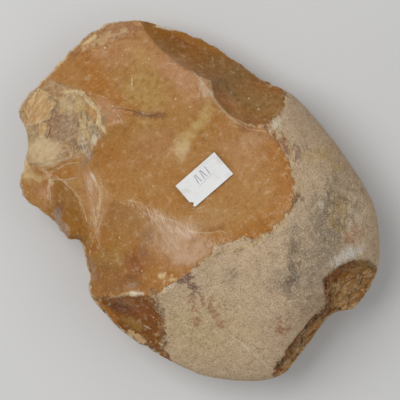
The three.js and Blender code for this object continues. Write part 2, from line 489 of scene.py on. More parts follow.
@dataclass(frozen=True)
class EdgeChips:
    """The small chips along the worked edge, from shaping it and from use."""

    seed: int = 7
    count: int = 190
    worked_from: float = 0.0
    worked_to: float = 0.58
    width: tuple[float, float] = (1.4, 4.6)
    bite: tuple[float, float] = (0.5, 1.5)

    def scars(self, nodule: Nodule) -> list[Scar]:
        """Chips struck from both faces.

        Args:
            nodule: the stone whose edge they follow.

        Returns:
            A small scar for each chip.
        """
        random = np.random.default_rng(self.seed)
        line = nodule.edge_line()
        lengths = np.linalg.norm(np.roll(line, -1, axis=0) - line, axis=1)
        run = np.concatenate([[0], np.cumsum(lengths)[:-1]]) / lengths.sum()
        chips = []
        for n in range(self.count):
            share = random.uniform(self.worked_from, self.worked_to) % 1.0
            i = int(np.searchsorted(run, share)) % len(line)
            ahead = line[(i + 3) % len(line)] - line[i - 3]
            outward = math.degrees(math.atan2(-ahead[0], ahead[1]))
            away = line[i] - np.array(nodule.hub)
            bearing = math.atan2(away[1], away[0])
            edge_z = nodule.edge_z + nodule.edge_lean * math.cos(bearing - math.radians(nodule.edge_high))
            upper = random.random() < 0.6
            wide = random.uniform(*self.width) * random.uniform(0.6, 1.0)
            bite = random.uniform(*self.bite) * wide / self.width[1]
            tilt = random.uniform(38, 68)
            level = 0.5 if upper else -0.5
            place = line[i] - bite * heading(outward)[:2]
            chips.append(Scar(
                f"chip_{n}", (place[0], place[1], edge_z + level), outward + random.uniform(-20, 20),
                tilt if upper else 180 - tilt, outward + 90, (wide * 1.6, wide * 1.2), wide,
            ))
        return chips


# ---- Marks on the stone ----


@dataclass(frozen=True)
class Oval:
    """An oval place on one face."""

    at: tuple[float, float]
    size: tuple[float, float]
    turn: float = 0.0

    def within(self, plan: Points) -> Values:
        """1 at the middle, 0 on the rim and below 0 outside."""
        way = heading(self.turn)[:2]
        away = plan - np.array(self.at)
        return 1 - np.hypot(away @ way / self.size[0], away @ np.array([-way[1], way[0]]) / self.size[1])


@dataclass(frozen=True)
class Plot:
    """An area with corners on one face."""

    corners: tuple[tuple[float, float], ...]

    def within(self, plan: Points) -> Values:
        """How far inside the area's border each place lies, below 0 outside it."""
        line = np.array(self.corners, float)
        nearest = np.full(len(plan), np.inf)
        odd = np.zeros(len(plan), bool)
        for a, b in zip(line, np.roll(line, -1, axis=0)):
            share = np.clip((plan - a) @ (b - a) / ((b - a) @ (b - a)), 0, 1)
            nearest = np.minimum(nearest, np.linalg.norm(plan - a - share[:, None] * (b - a), axis=1))
            if a[1] != b[1]:
                crossing = a[0] + (plan[:, 1] - a[1]) / (b[1] - a[1]) * (b[0] - a[0])
                odd ^= ((plan[:, 1] >= a[1]) != (plan[:, 1] >= b[1])) & (plan[:, 0] < crossing)
        return np.where(odd, nearest, -nearest)


@dataclass(frozen=True)
class Line:
    """A band along a line of points."""

    through: tuple[tuple[float, float], ...]
    width: float

    def away(self, plan: Points) -> tuple[Values, Values]:
        """Each place's distance from the line, above 0 on its left, and how far past its ends it lies."""
        nearest = np.full(len(plan), np.inf)
        side = np.ones(len(plan))
        past = np.zeros(len(plan))
        last = len(self.through) - 2
        for n, (start, end) in enumerate(zip(self.through, self.through[1:])):
            a, b = np.array(start, float), np.array(end, float)
            run = b - a
            raw = (plan - a) @ run / (run @ run)
            off = plan - a - np.clip(raw, 0, 1)[:, None] * run
            far = np.linalg.norm(off, axis=1)
            closer = far < nearest
            nearest = np.where(closer, far, nearest)
            side = np.where(closer, np.sign(run[0] * off[:, 1] - run[1] * off[:, 0]), side)
            beyond = np.maximum(0, -raw) * (n == 0) + np.maximum(0, raw - 1) * (n == last)
            past = np.where(closer, beyond * np.linalg.norm(run), past)
        return nearest * side, past

    def within(self, plan: Points) -> Values:
        """1 on the line, 0 at the band's sides and below 0 outside."""
        return 1 - np.abs(self.away(plan)[0]) / (self.width / 2)


@dataclass(frozen=True)
class Tint:
    """A colour laid over one place of the stone."""

    colour: Colour
    shape: Oval | Line
    strength: float = 1.0
    soft: float = 0.5
    ragged: float = 0.35

    def lay(self, tones: Values, plan: Points, crumbs: Values) -> Values:
        """The tones with this one laid over them.

        Args:
            tones: a colour for each place.
            plan: the places.
            crumbs: random values that break up the rim.

        Returns:
            The new colours.
        """
        cover = self.strength * smooth(self.shape.within(plan) + self.ragged * crumbs, -self.soft, self.soft)
        return mix(tones, np.array(self.colour), cover[:, None])


@dataclass(frozen=True)
class Swell:
    """A place that stands proud of the stone around it, or lies below it."""

    shape: Oval | Plot | Line
    rise: float
    soft: float = 0.5
    ragged: float = 0.0

    def height(self, plan: Points, crumbs: Values) -> Values:
        """How far it raises each place in plan."""
        return self.rise * smooth(self.shape.within(plan) + self.ragged * crumbs, -self.soft, self.soft)


@dataclass(frozen=True)
class Step:
    """A line where a crack ended: the stone stands higher on its left and fades to level on both sides."""

    line: Line
    rise: float

    def height(self, plan: Points) -> Values:
        """How far it raises each place in plan."""
        away, past = self.line.away(plan)
        fade = np.exp(-np.abs(away) / self.line.width) * np.exp(-(past**2))
        return self.rise * (smooth(away, -0.35, 0.35) - 0.5) * fade


RIND_BORDER = Line((
    (33, -0.5), (35.3, -2.3), (36.1, -6.8), (35.4, -10.8), (33, -14), (29.3, -18), (27, -23),
    (19.8, -24.3), (14.9, -26.8), (9.2, -26.4), (0, -24), (-5, -20.3), (-8.6, -18.7), (-14.3, -17.4),
), 1.2)
LOW_BORDER = Line(((-32.6, -13), (-32.6, -17), (-35, -21), (-37.7, -23.7), (-41, -27.5), (-45.3, -32.6)), 1.6)
LIP = Line((
    (-6, 57.5), (-4.4, 55.8), (-3.2, 54), (-2.4, 51.3), (-2.4, 48.1),
    (-2.8, 44.1), (-3.4, 42.2), (-5.7, 40.7), (-5.4, 37.3),
), 1.3)
TIP_RIM = Line(((7, 66.3), (12, 65.6), (17, 63.5), (22, 60.5), (26, 57.5)), 5.5)
CRUST = Plot((
    (-11.1, 61.6), (-12.6, 59.7), (-10.9, 55.9), (-14.4, 55.3), (-15.9, 53.9), (-20.3, 55.6),
    (-23.3, 57), (-22.7, 58.7), (-20.5, 62.2), (-17.5, 63.7), (-12.4, 64.6),
))
PILLAR = Plot(((-20.6, 55.7), (-18.4, 53.9), (-22.3, 50.5), (-23.8, 52)))
RUBBED = (
    (0.95, Line(((-14.3, 6), (-13.2, 1.0), (-11.3, -3.2), (-9.3, -7.6)), 6.5)),
    (0.5, Line(((-16.8, 13), (-15.4, 8)), 4.0)),
    (0.55, Oval((-17, -6), (9, 4.5), -70)),
    (0.75, Line(((-20.6, 30.5), (-23.0, 26.5), (-25.6, 23)), 3.2)),
    (0.6, Line(((-26.5, 21), (-30.5, 16)), 3.6)),
    (0.5, Line(((-31, 15.5), (-35, 10)), 1.6)),
    (0.4, Oval((-2.5, -17), (5, 2.5), -40)),
)
DOME = Oval((-26, 47), (6.2, 4.9), -50)
BLADE_CRACK = ((-19.8, 27), (-21.4, 23.5), (-23.6, 21.2), (-25.5, 19.3))
CORNER_CRACK = ((-31.6, 39), (-28.2, 35.9), (-26.2, 34.1), (-24, 32.7))
LABEL_CRACK = ((-2.6, -3), (-1.5, -4.2), (0, -4.6))
LOW_HINGE = ((-38.6, -8.6), (-35.2, -12))
OCHRE_SPOT = Oval((32.8, -39.3), (4.6, 3), 40)

FLINT_TINTS = (
    # tip: orange band, olive middle, rosy side along the ridge
    Tint(GOLD, Line(((7.5, 61), (3.8, 50.5), (5.2, 41.6), (5.5, 36)), 6), 0.75, 0.8),
    Tint(GOLD, Line(((-4, 63), (0, 55), (1, 50)), 4), 0.4, 0.8),
    Tint(OLIVE, Oval((13, 37), (9, 6.5), 60), 0.6, 0.8),
    Tint(STRAW, Oval((13, 37), (8, 5.5), 60), 0.28, 0.5, 1.4),
    Tint(ROSE, Oval((26, 32), (15, 4), 92), 0.65, 0.7),
    Tint(ROSE, Oval((17, 56), (9, 5), -35), 0.5, 0.8),
    Tint(STRAW, Oval((21.5, 48), (5, 2.5), 100), 0.4, 0.7),
    Tint(ROSE, TIP_RIM, 0.6, 0.4, 0.5),
    Tint(UMBER, TIP_RIM, 0.35, 0.3, 1.5),
    Tint(CREAM, Line(((10, 64.3), (17, 62), (23, 58.6)), 3), 0.4, 0.25, 1.8),
    Tint(CREAM, Line(((-8, 66.2), (0, 66.8), (6, 66.8)), 1.4), 0.8, 0.3, 1.2),
    Tint(CREAM, Oval((12.6, 65.6), (2.6, 1.1), -12), 1.0, 0.25),
    Tint(BONE, Oval((34.2, 50.2), (2.8, 0.9), -58), 1.0, 0.25),
    Tint(BONE, Oval((36.2, 46.8), (1.6, 0.6), -62), 0.9, 0.25),
    Tint(linear(126, 78, 52), Line(((6, 34), (8.5, 30.8), (13, 26.9)), 2.0), 0.7, 0.6),
    Tint(ROSE, Oval((-0.5, 42.5), (8.5, 3), 104), 0.55, 0.3),
    # main scar: straw cloud and its tail, rosy and gold parts, arcs below the label
    Tint(GOLD, Oval((-12, 29), (6, 4), 60), 0.5, 0.8),
    Tint(ROSE, Oval((25, 1), (9, 6), -30), 0.45, 0.8),
    Tint(ROSE, Oval((3, 22), (9, 5), -20), 0.3, 0.8),
    Tint(GOLD, Line(((31, -8), (28, -17), (20, -22.5), (10, -24.5), (2, -22.5)), 6), 0.75, 0.8),
    Tint(GOLD, Oval((-2, 6), (6, 5), 0), 0.35, 0.8),
    Tint(CREAM, Oval((9, 14.5), (3.4, 2.6), 40), 0.75, 0.6),
    Tint(STRAW, Oval((12.5, 16.3), (3, 1.7), 10), 0.6, 0.5),
    Tint(STRAW, Oval((17, 16), (4.2, 1.8), 15), 0.6, 0.6),
    Tint(STRAW, Oval((24, 17.3), (4, 2.2), 10), 0.7, 0.6),
    Tint(CREAM, Oval((18.4, 12.2), (1.3, 0.8), -20), 0.55, 0.4),
    Tint(BONE, Oval((29, -0.5), (4, 2.2), -30), 0.12, 0.8),
    Tint(TAN, Oval((1, -10), (7, 3.4), -40), 0.5, 0.6),
    Tint(UMBER, Line(((-5.5, -8.5), (-3, -12), (0.5, -14.5)), 1.6), 0.3, 0.8),
    # right-hand strip
    Tint(linear(126, 82, 22), Oval((33, 43), (7, 3.4), 120), 0.6, 0.7),
    Tint(RED, Line(((33, 47), (37, 40), (39, 33)), 1.8), 0.45, 0.6, 1.0),
    Tint(GOLD, Line(((36, 46), (40, 37), (43, 28.5), (45, 20)), 2.6), 0.6, 0.6),
    Tint(linear(126, 92, 40), Oval((39, 18), (13, 5.5), 100), 0.65, 0.8),
    Tint(GOLD, Oval((31.3, 15), (5.5, 2.2), 100), 0.9, 0.7),
    Tint(linear(134, 84, 34), Oval((31.5, 4.2), (4, 2.2), -25), 0.9, 0.6),
    Tint(RED, Oval((44.8, 11), (4, 1.4), 105), 0.5, 0.6),
    Tint(TAN, Oval((38, 12), (10, 5), 100), 0.35, 0.25, 1.6),
    Tint(BONE, Oval((28.6, 22), (2.4, 1.2), 90), 0.5, 0.4, 0.9),
    # left face
    Tint(TAN, Oval((-19, 6), (9, 5), -60), 0.5, 0.8),
    Tint(CHALK, Oval((-13, -8.5), (8.5, 6), -50), 0.45, 0.8),
    Tint(CHALK, Oval((-13, -1.5), (8, 2.6), -62), 0.3, 0.8, 0.3),
    Tint(CHALK, Oval((-13.5, -13.8), (8, 2.4), -15), 0.5, 0.5),
    Tint(GOLD, Oval((-3, -17), (3.4, 1.9), -40), 0.6, 0.5),
    Tint(linear(126, 62, 20), Oval((-30.4, -2.6), (3.8, 2.8), 50), 0.85, 0.8),
    Tint(PLUM, Oval((-25.5, -2.5), (3, 2), 50), 0.45, 0.7),
    Tint(PLUM, Oval((-20, 1.5), (2.4, 2), 0), 0.4, 0.7),
    Tint(OLIVE, Oval((-35, 4.5), (6, 4), -30), 0.55, 0.8),
    Tint(linear(122, 78, 28), Oval((-40, 0), (6, 8), 30), 0.7, 0.8),
    Tint(UMBER, Oval((-34.5, -7), (4.5, 2), -50), 0.35, 0.7),
    Tint(CREAM, Oval((-25.3, -12.8), (1.6, 1.1), -60), 0.9, 0.2, 1.6),
    Tint(ASH, Oval((-36.5, -8.5), (2.6, 1.2), -52), 0.6, 0.6, 1.2),
    Tint(BONE, Line(LOW_HINGE, 1.2), 0.95, 0.35, 0.5),
    Tint(CREAM, Line(((-47.5, -2.4), (-43.5, -6), (-38.6, -8.6)), 0.9), 0.5, 0.3, 1.2),
    Tint(ASH, Oval((-41.5, 7), (3.4, 1.0), 65), 0.4, 0.5, 1.2),
    # low left scar
    Tint(linear(92, 50, 34), Oval((-44.5, -9.5), (5, 2), -52), 0.75, 0.6),
    Tint(GOLD, Line(((-48.2, -3.8), (-48.8, -8), (-48.8, -12)), 1.8), 0.8, 0.5),
    Tint(linear(136, 76, 30), Oval((-39.8, -16.5), (4, 2.2), 100), 0.5, 0.7),
    Tint(OLIVE, Oval((-45, -17), (3.8, 2), 110), 0.6, 0.7),
    Tint(CREAM, Line(((-48.6, -18.8), (-48, -21.5), (-47, -24.5)), 1.8), 0.75, 0.25, 1.7),
    Tint(CREAM, LOW_BORDER, 0.4, 0.3, 1.8),
    Tint(UMBER, LOW_BORDER, 0.6, 0.4, 1.3),
    # high left scar, blade and corner
    Tint(GOLD, Oval((-26.5, 36.8), (4.6, 1.6), -35), 0.75, 0.5),
    Tint(ROSE, Oval((-22.5, 25), (8, 3.6), 60), 0.55, 0.7),
    Tint(CREAM, Line(BLADE_CRACK, 1.2), 0.6, 0.5),
    Tint(BONE, Oval((-19.4, 28.9), (1.2, 0.6), 60), 1.0, 0.25),
    Tint(CREAM, Oval((-31.6, 38), (0.8, 1.4), -30), 0.6, 0.4),
    Tint(TAN, Line(((-28.4, 35.7), (-27.8, 30.4), (-28.3, 26), (-30.2, 22.5)), 1.0), 0.5, 0.5),
    Tint(ASH, Line(((-37, 29), (-39.3, 26.2), (-40.3, 21.5)), 3.0), 0.8, 0.35),
    Tint(PLUM, Oval((-35.6, 29.6), (2.2, 1.4), 60), 0.45, 0.6),
    Tint(RED, Oval((-37, 11), (1.4, 0.9), 0), 0.6, 0.5),
    Tint(ROSE, Oval((-35.8, 37.6), (3.4, 1.9), -40), 0.7, 0.5),
    Tint(GOLD, Oval((-40.5, 42), (2, 2.6), 20), 0.6, 0.6),
    Tint(CREAM, Line(((-36.5, 46), (-34.5, 42.5), (-32, 40.6)), 1.6), 0.55, 0.4, 0.9),
    Tint(linear(206, 178, 128), Oval((-35, 46.6), (3.6, 2), 50), 0.95, 0.5),
    # patch: hackly middle, tan crust, cream lip partly painted as lit, white flecks painted as highlights,
    # and dome
    Tint(linear(158, 130, 104), Oval((-14.5, 51), (8, 5.5), 50), 0.9, 0.4, 0.4),
    Tint(CREAM, Oval((-8.5, 51.5), (5.5, 3), -50), 0.6, 0.4, 0.7),
    Tint(STRAW, Oval((-7, 46.8), (4, 2), 70), 0.9, 0.5, 0.3),
    Tint(MUD, Oval((-9.5, 42), (6, 4), 25), 0.85, 0.35, 0.9),
    Tint(CREAM, Oval((-10.5, 42.3), (4, 2.2), 40), 0.9, 0.25, 1.3),
    # Painted highlights: these two white flecks stand for bright lit edges of the hackly patch.
    Tint(BONE, Oval((-10.4, 37.3), (2.4, 1.1), 10), 0.9, 0.3, 0.6),
    Tint(BONE, Oval((-13.8, 40.8), (3, 1), 60), 0.6, 0.3, 0.9),
    Tint(ASH, Line(((-13.2, 36.8), (-16.5, 34.6), (-19.7, 33.8)), 2.0), 0.6, 0.4),
    # The lip's pale cream is partly its own colour and partly a painted highlight on its inner wall, which
    # faces the lamp.
    Tint(linear(216, 190, 140), LIP, 1.0, 0.35, 0.5),
    Tint(linear(186, 138, 82), Oval((-4.6, 45), (3, 1.5), 80), 0.9, 0.4),
    Tint(linear(178, 132, 80), Line(((-14, 64.6), (-20.6, 63.4), (-24.2, 58.5)), 3), 0.5, 0.6, 0.6),
    Tint(linear(202, 178, 138), DOME, 1.0, 0.25, 0.1),
    Tint(linear(196, 166, 130), Oval((-22.3, 44.2), (2.6, 2.2), -40), 0.5, 0.6, 0.1),
    # butt break
    Tint(TAN, Oval((21, -60), (8, 6), 20), 0.6, 0.6),
    Tint(GOLD, Oval((19.5, -57.5), (4, 3), 20), 0.7, 0.7),
    Tint(OLIVE, Oval((27.5, -58.5), (2, 3), 0), 0.7, 0.5),
    Tint(TAN, Line(((8, -62.5), (-4, -62.6), (-12, -64), (-20, -65.5)), 3), 0.8, 0.6, 0.7),
    Tint(RED, Oval((-21.5, -64.5), (3.4, 1.8), -10), 0.7, 0.5),
)

RIND_TINTS = (
    Tint(SAND, Oval((-32, -32), (16, 9), -50), 0.6, 0.9),
    Tint(linear(186, 154, 126), Oval((46, -22), (18, 5), 95), 0.5, 0.9),
    Tint(linear(160, 134, 108), Oval((8, -54), (18, 6), 0), 0.6, 0.9),
    Tint(linear(168, 148, 122), Oval((22, -40), (22, 10), 10), 0.6, 0.9, 0.7),
    Tint(SLATE, Oval((28, -35.5), (6.5, 4.6), 60), 0.42, 0.8, 1.2),
    Tint(SLATE, Oval((25, -41), (7, 5), 30), 0.42, 0.9, 1.2),
    Tint(SLATE, Oval((15, -47), (9, 5), 25), 0.38, 0.9, 1.2),
    Tint(SLATE, Oval((40, -32), (7, 4), 60), 0.25, 0.8, 1.4),
    Tint(MOSS, OCHRE_SPOT, 0.45, 0.3, 1.6),
    Tint(STRAW, OCHRE_SPOT, 0.5, 0.2, 1.9),
    Tint(SLATE, Line((
        (16, -31), (12.9, -35.4), (10.3, -38.1), (7.9, -41.4), (5.1, -42.4), (1.9, -44.9), (0.8, -47.5),
    ), 3.6), 0.45, 0.5, 1.6),
    Tint(SHADOW, Line(((14, -34.5), (10.3, -38.1), (7.5, -41.8), (1.9, -44.9)), 2), 0.45, 0.2, 1.8),
    Tint(SLATE, Oval((5, -43.5), (6, 3), -40), 0.35, 0.9, 0.8),
    Tint(SLATE, Oval((-9.4, -28.4), (3, 2), 0), 0.3, 0.8),
    Tint(linear(214, 208, 196), Line(((20, -49.5), (24, -50.6), (28.5, -52.5)), 3), 0.75, 0.5, 1.2),
    Tint(BONE, Oval((34, -44), (6, 2.4), 40), 0.4, 0.4, 1.4),
    Tint(linear(158, 96, 56), Oval((30.6, -47), (2.8, 2), 0), 0.6, 0.5, 1.4),
    Tint(RED, Oval((-9.3, -53), (2, 2.4), 0), 0.5, 0.25, 1.8),
    Tint(RED, Line(((-20.5, -28), (-21.8, -33), (-22.9, -37.5)), 2), 0.5, 0.15, 2.0),
    Tint(RED, Line(((-24, -24), (-26.5, -28), (-28.5, -32.5)), 2), 0.5, 0.15, 2.0),
    Tint(PLUM, Line(((-23.5, -16.6), (-20.5, -17.8), (-21, -21), (-21.8, -24)), 2.6), 0.85, 0.2, 1.8),
    Tint(BONE, Line(((-29.5, -14.8), (-24, -16)), 2.4), 0.6, 0.3, 1.4),
    Tint(UMBER, RIND_BORDER, 0.5, 0.35, 1.7),
    Tint(CREAM, RIND_BORDER, 0.6, 0.3, 1.6),
    Tint(RED, Line(((33, -2.5), (33.9, -6.6), (34.8, -10)), 2.4), 0.7, 0.2, 1.8),
    Tint(RED, Line(((48, 6.4), (43.4, 3), (40, 0.4), (34.5, -1)), 2.4), 0.75, 0.2, 1.6),
    Tint(CREAM, Line(((48, 5.4), (43, 1.6), (36, -1.5)), 3), 0.6, 0.3, 1.6),
    Tint(UMBER, Oval((24.5, -24.7), (1.8, 1.3), 0), 0.8, 0.3, 1.4),
    Tint(PLUM, Oval((37, -14.6), (2.8, 1.8), 0), 0.5, 0.2, 1.8),
    Tint(SHADOW, Line(((30, -33), (34, -34), (38, -30)), 3), 0.3, 0.15, 2.0),
    Tint(UMBER, LOW_BORDER, 0.7, 0.4, 1.3),
    Tint(STRAW, Oval((41.5, -19.5), (4, 2), -30), 0.6, 0.4, 1.0),
    Tint(STRAW, Oval((43, -27), (3.4, 1.4), -30), 0.55, 0.4, 1.2),
    Tint(BONE, Oval((29.6, -31.8), (1.8, 1.2), 0), 0.7, 0.4, 1.0),
    Tint(BONE, Oval((38, -1.6), (2, 1.4), 0), 0.7, 0.4, 0.9),
)

PALE_LINES = (
    Line(((13.8, 44.4), (12.4, 42.9), (11.4, 41.7)), 1.0),
    Line(((-23.3, -43.2), (-22.4, -47.5), (-21.9, -51), (-22.1, -54), (-21.9, -58.2), (-22.2, -60.5)), 0.9),
    Line(((-22.5, -48), (-22.8, -51.5)), 0.8),
    Line(((-1.1, -48), (1.2, -49.5)), 1.0),
    Line(((26.2, 38.6), (27.4, 37)), 0.6),
    Line(((33.4, 31.6), (33.5, 30)), 0.7),
    Line(((23.4, 32.2), (24, 30.4)), 0.5),
    Line(((2.3, -34.6), (1.7, -36.2)), 0.5),
    Line(((4.9, -36.9), (4.3, -38.6)), 0.4),
    Line(((-9.4, -38.7), (-9.9, -40.2)), 0.5),
    Line(((38.9, 30.4), (38.4, 29.4), (37.4, 29.4)), 0.6),
    Line(((-4.7, -38.6), (-8.5, -44.1), (-10.8, -46.4)), 0.35),
    Line(((-20.6, 30.8), (-22.3, 28.4), (-24, 26)), 0.6),
    Line(((-20.8, 28.6), (-23.6, 24.8)), 0.5),
    Line(BLADE_CRACK, 0.7),
    Line(CORNER_CRACK, 0.7),
    Line(((-28.5, 35.5), (-27.9, 30.4), (-28.4, 26), (-30.2, 22.5), (-32.1, 19.2)), 0.45),
    Line(((-27.1, 20.8), (-29.1, 18), (-31, 16.4)), 0.6),
    Line(((-25.7, 19.5), (-30.5, 15.9)), 0.5),
    Line(((-24.4, 18.3), (-28.7, 15.6)), 0.4),
    Line(((-29.5, 19.7), (-32, 17.4)), 0.5),
    Line(((-32.9, 38), (-34.6, 35.6), (-36.8, 33)), 0.55),
    Line(LABEL_CRACK, 0.5),
    Line(((-2.5, -4.6), (-1, -5.9), (0.8, -6.5)), 0.4),
    Line(((1.4, 38.2), (1, 36), (0.4, 34.4)), 0.5),
    Line(((0.5, 49), (2.6, 45)), 0.45),
    Line(((-8.8, -7.2), (-6, -11), (-3.4, -13.4), (-1.2, -14.4), (-0.2, -16), (-0.9, -18)), 0.6),
    Line(((-16.5, 14.5), (-13.9, 11), (-13.6, 5.9), (-12.3, 2.5), (-10, -1.5), (-8.8, -6.5)), 0.6),
    Line(((-42.7, -20.2), (-42, -22.4)), 0.9),
    Line(((-30.2, 41.3), (-28.5, 40.1), (-26, 39.2), (-23.5, 38.6), (-21.8, 37.4), (-20, 35.9)), 0.7),
    Line(((29.9, 31), (29.1, 23.7), (28.2, 17), (27.8, 11), (28.4, 7.5), (29.8, 3), (32.8, -0.5)), 0.5),
)
# Dark lines: the first is the dark hinge line and the last three lie on the left scars; the second to fifth
# are painted shadow, below the dome, beside the pillar, outside the crust's edge and outside the lip.
DARK_AND_SHADOW_LINES = (
    Line(((1.5, 41), (4, 38), (5.8, 35.5), (7.4, 31.8), (8.8, 30), (10.6, 28.4)), 0.8),
    Line(((-30, 42.2), (-28.2, 41.2), (-26, 40.2), (-23.4, 39.7), (-21.4, 38.6)), 0.6),
    Line(((-17.9, 52.6), (-20.2, 50.6), (-22, 49.6)), 0.9),
    Line(((-11.3, 59.6), (-10.6, 56.4), (-13.6, 54.6), (-15.5, 53.2)), 0.6),
    Line(((-1.3, 53), (-1.2, 50), (-1.5, 47), (-2, 43.5)), 0.5),
    Line(((-28.9, 35.4), (-28.6, 31), (-29, 27)), 0.5),
    Line(((-47, -3.4), (-43.5, -6.8), (-39.5, -9)), 0.5),
    Line(((-28.1, 0.6), (-28.8, -3.9)), 0.4),
)

CRUMBS = (
    (18.9, 28), (20.7, 22.4), (28.2, 20.4), (8.5, 25.2), (-1.5, 17.2), (16.9, 52.6), (22.5, 44.9),
    (14.4, 58.8), (-6.9, 12.1), (-13.6, 12.9), (31, -8.8), (29.1, -9.7), (19.9, -21.9), (7.2, -18.3),
    (13.2, -24.2), (14.2, -24.9), (24.4, -12.6), (-0.4, -13), (-22.6, 16.2), (-37.4, 18.7), (-35.6, 10.3),
    (-34, 31.3), (-27.5, 7.6), (-36.1, 3.3), (-23.7, -3.9), (-39.8, -1.1), (-41, -4), (-29.9, -6),
    (-38, -20.2), (-38.2, -22.8), (37.7, 11.1), (37.3, 6.1), (46.6, 9), (42.9, 7.8), (38.8, 14),
    (31.4, 4.1), (34.5, 16.8), (-29.9, -36.5), (-34.1, -33.2),
)

SWELLS = (
    Swell(DOME, 1.5, 0.9),
    Swell(CRUST, 0.7, 0.4, 0.5),
    Swell(PILLAR, 0.7, 0.5, 0.2),
    Swell(Oval((-11, 44), (5, 4), 45), -0.5, 0.6, 0.6),
    Swell(Oval((-12, 50.5), (6, 4.5), 60), -0.5, 0.5),
    Swell(LIP, 0.35, 0.6, 0.4),
    Swell(Oval((-10.4, 37.3), (2.6, 1.3), 10), 0.6, 0.4),
    Swell(TIP_RIM, -0.35, 0.5, 0.5),
    Swell(Line(LOW_HINGE, 1.6), 0.3, 0.7),
)

STEPS = (
    Step(Line((
        (-12.6, 60), (-11.2, 56.2), (-14.4, 55.3), (-15.9, 53.9), (-20.3, 55.4), (-23.2, 56.4),
    ), 2.5), -0.8),
    Step(Line(((-4.2, 56), (-2.9, 54.4), (-2.1, 51.3), (-2.2, 48.1), (-2.7, 44.1), (-3, 42.2)), 2.0), -0.7),
    Step(Line(((1, 42), (4, 38), (5.8, 35.5), (7.4, 31.8), (9, 29.7), (13, 26.5)), 3.0), 0.55),
    Step(Line(((-3, 39), (0.4, 34.4), (1, 36), (2, 40), (4, 44)), 2.0), 0.25),
    Step(Line(((-9, -7), (-4.9, -11.6), (-1.4, -14.1), (-0.5, -17.8), (-3.8, -18.6)), 2.0), -0.45),
    Step(Line(((-20.2, 31.5), (-22.3, 28.4), (-24.5, 25.4)), 1.6), 0.35),
    Step(Line(((-19.8, 27), (-21.4, 23.5), (-23.6, 21.2), (-26, 19)), 1.8), 0.45),
    Step(Line(((-27.1, 20.8), (-29.1, 18), (-31, 16.2), (-34, 14)), 1.2), 0.3),
    Step(Line(CORNER_CRACK, 1.8), 0.4),
    Step(Line(((-37, 29.5), (-39, 25.5), (-40, 21)), 1.8), 0.35),
    Step(Line(((-47.5, -2.4), (-43.5, -6), (-38.6, -8.6), (-35.2, -12), (-33, -13)), 2.0), 0.4),
    Step(Line(LABEL_CRACK, 1.0), 0.15),
    Step(Line(((-2.5, -4.6), (-1, -5.9), (0.8, -6.5), (2.6, -6.7)), 1.2), 0.15),
    Step(Line(((24, 57), (22, 60.4), (16.5, 62), (10.6, 63.5)), 1.5), -0.3),
)


# ---- The stone as one mesh ----


@dataclass
class Surface:
    """The stone's surface: where each vertex is and what it shows."""

    points: Points
    normals: Points
    depths: dict[str, Values]
    upper: np.ndarray

    def inside(self, names: list[str]) -> Values:
        """How far each place lies inside the named hollows, in millimetres, below 0 outside them."""
        own = np.min([self.depths[name] for name in names], axis=0)
        other = np.min([depth for name, depth in self.depths.items() if name not in names], axis=0)
        return np.clip(other - own, -20, 20)


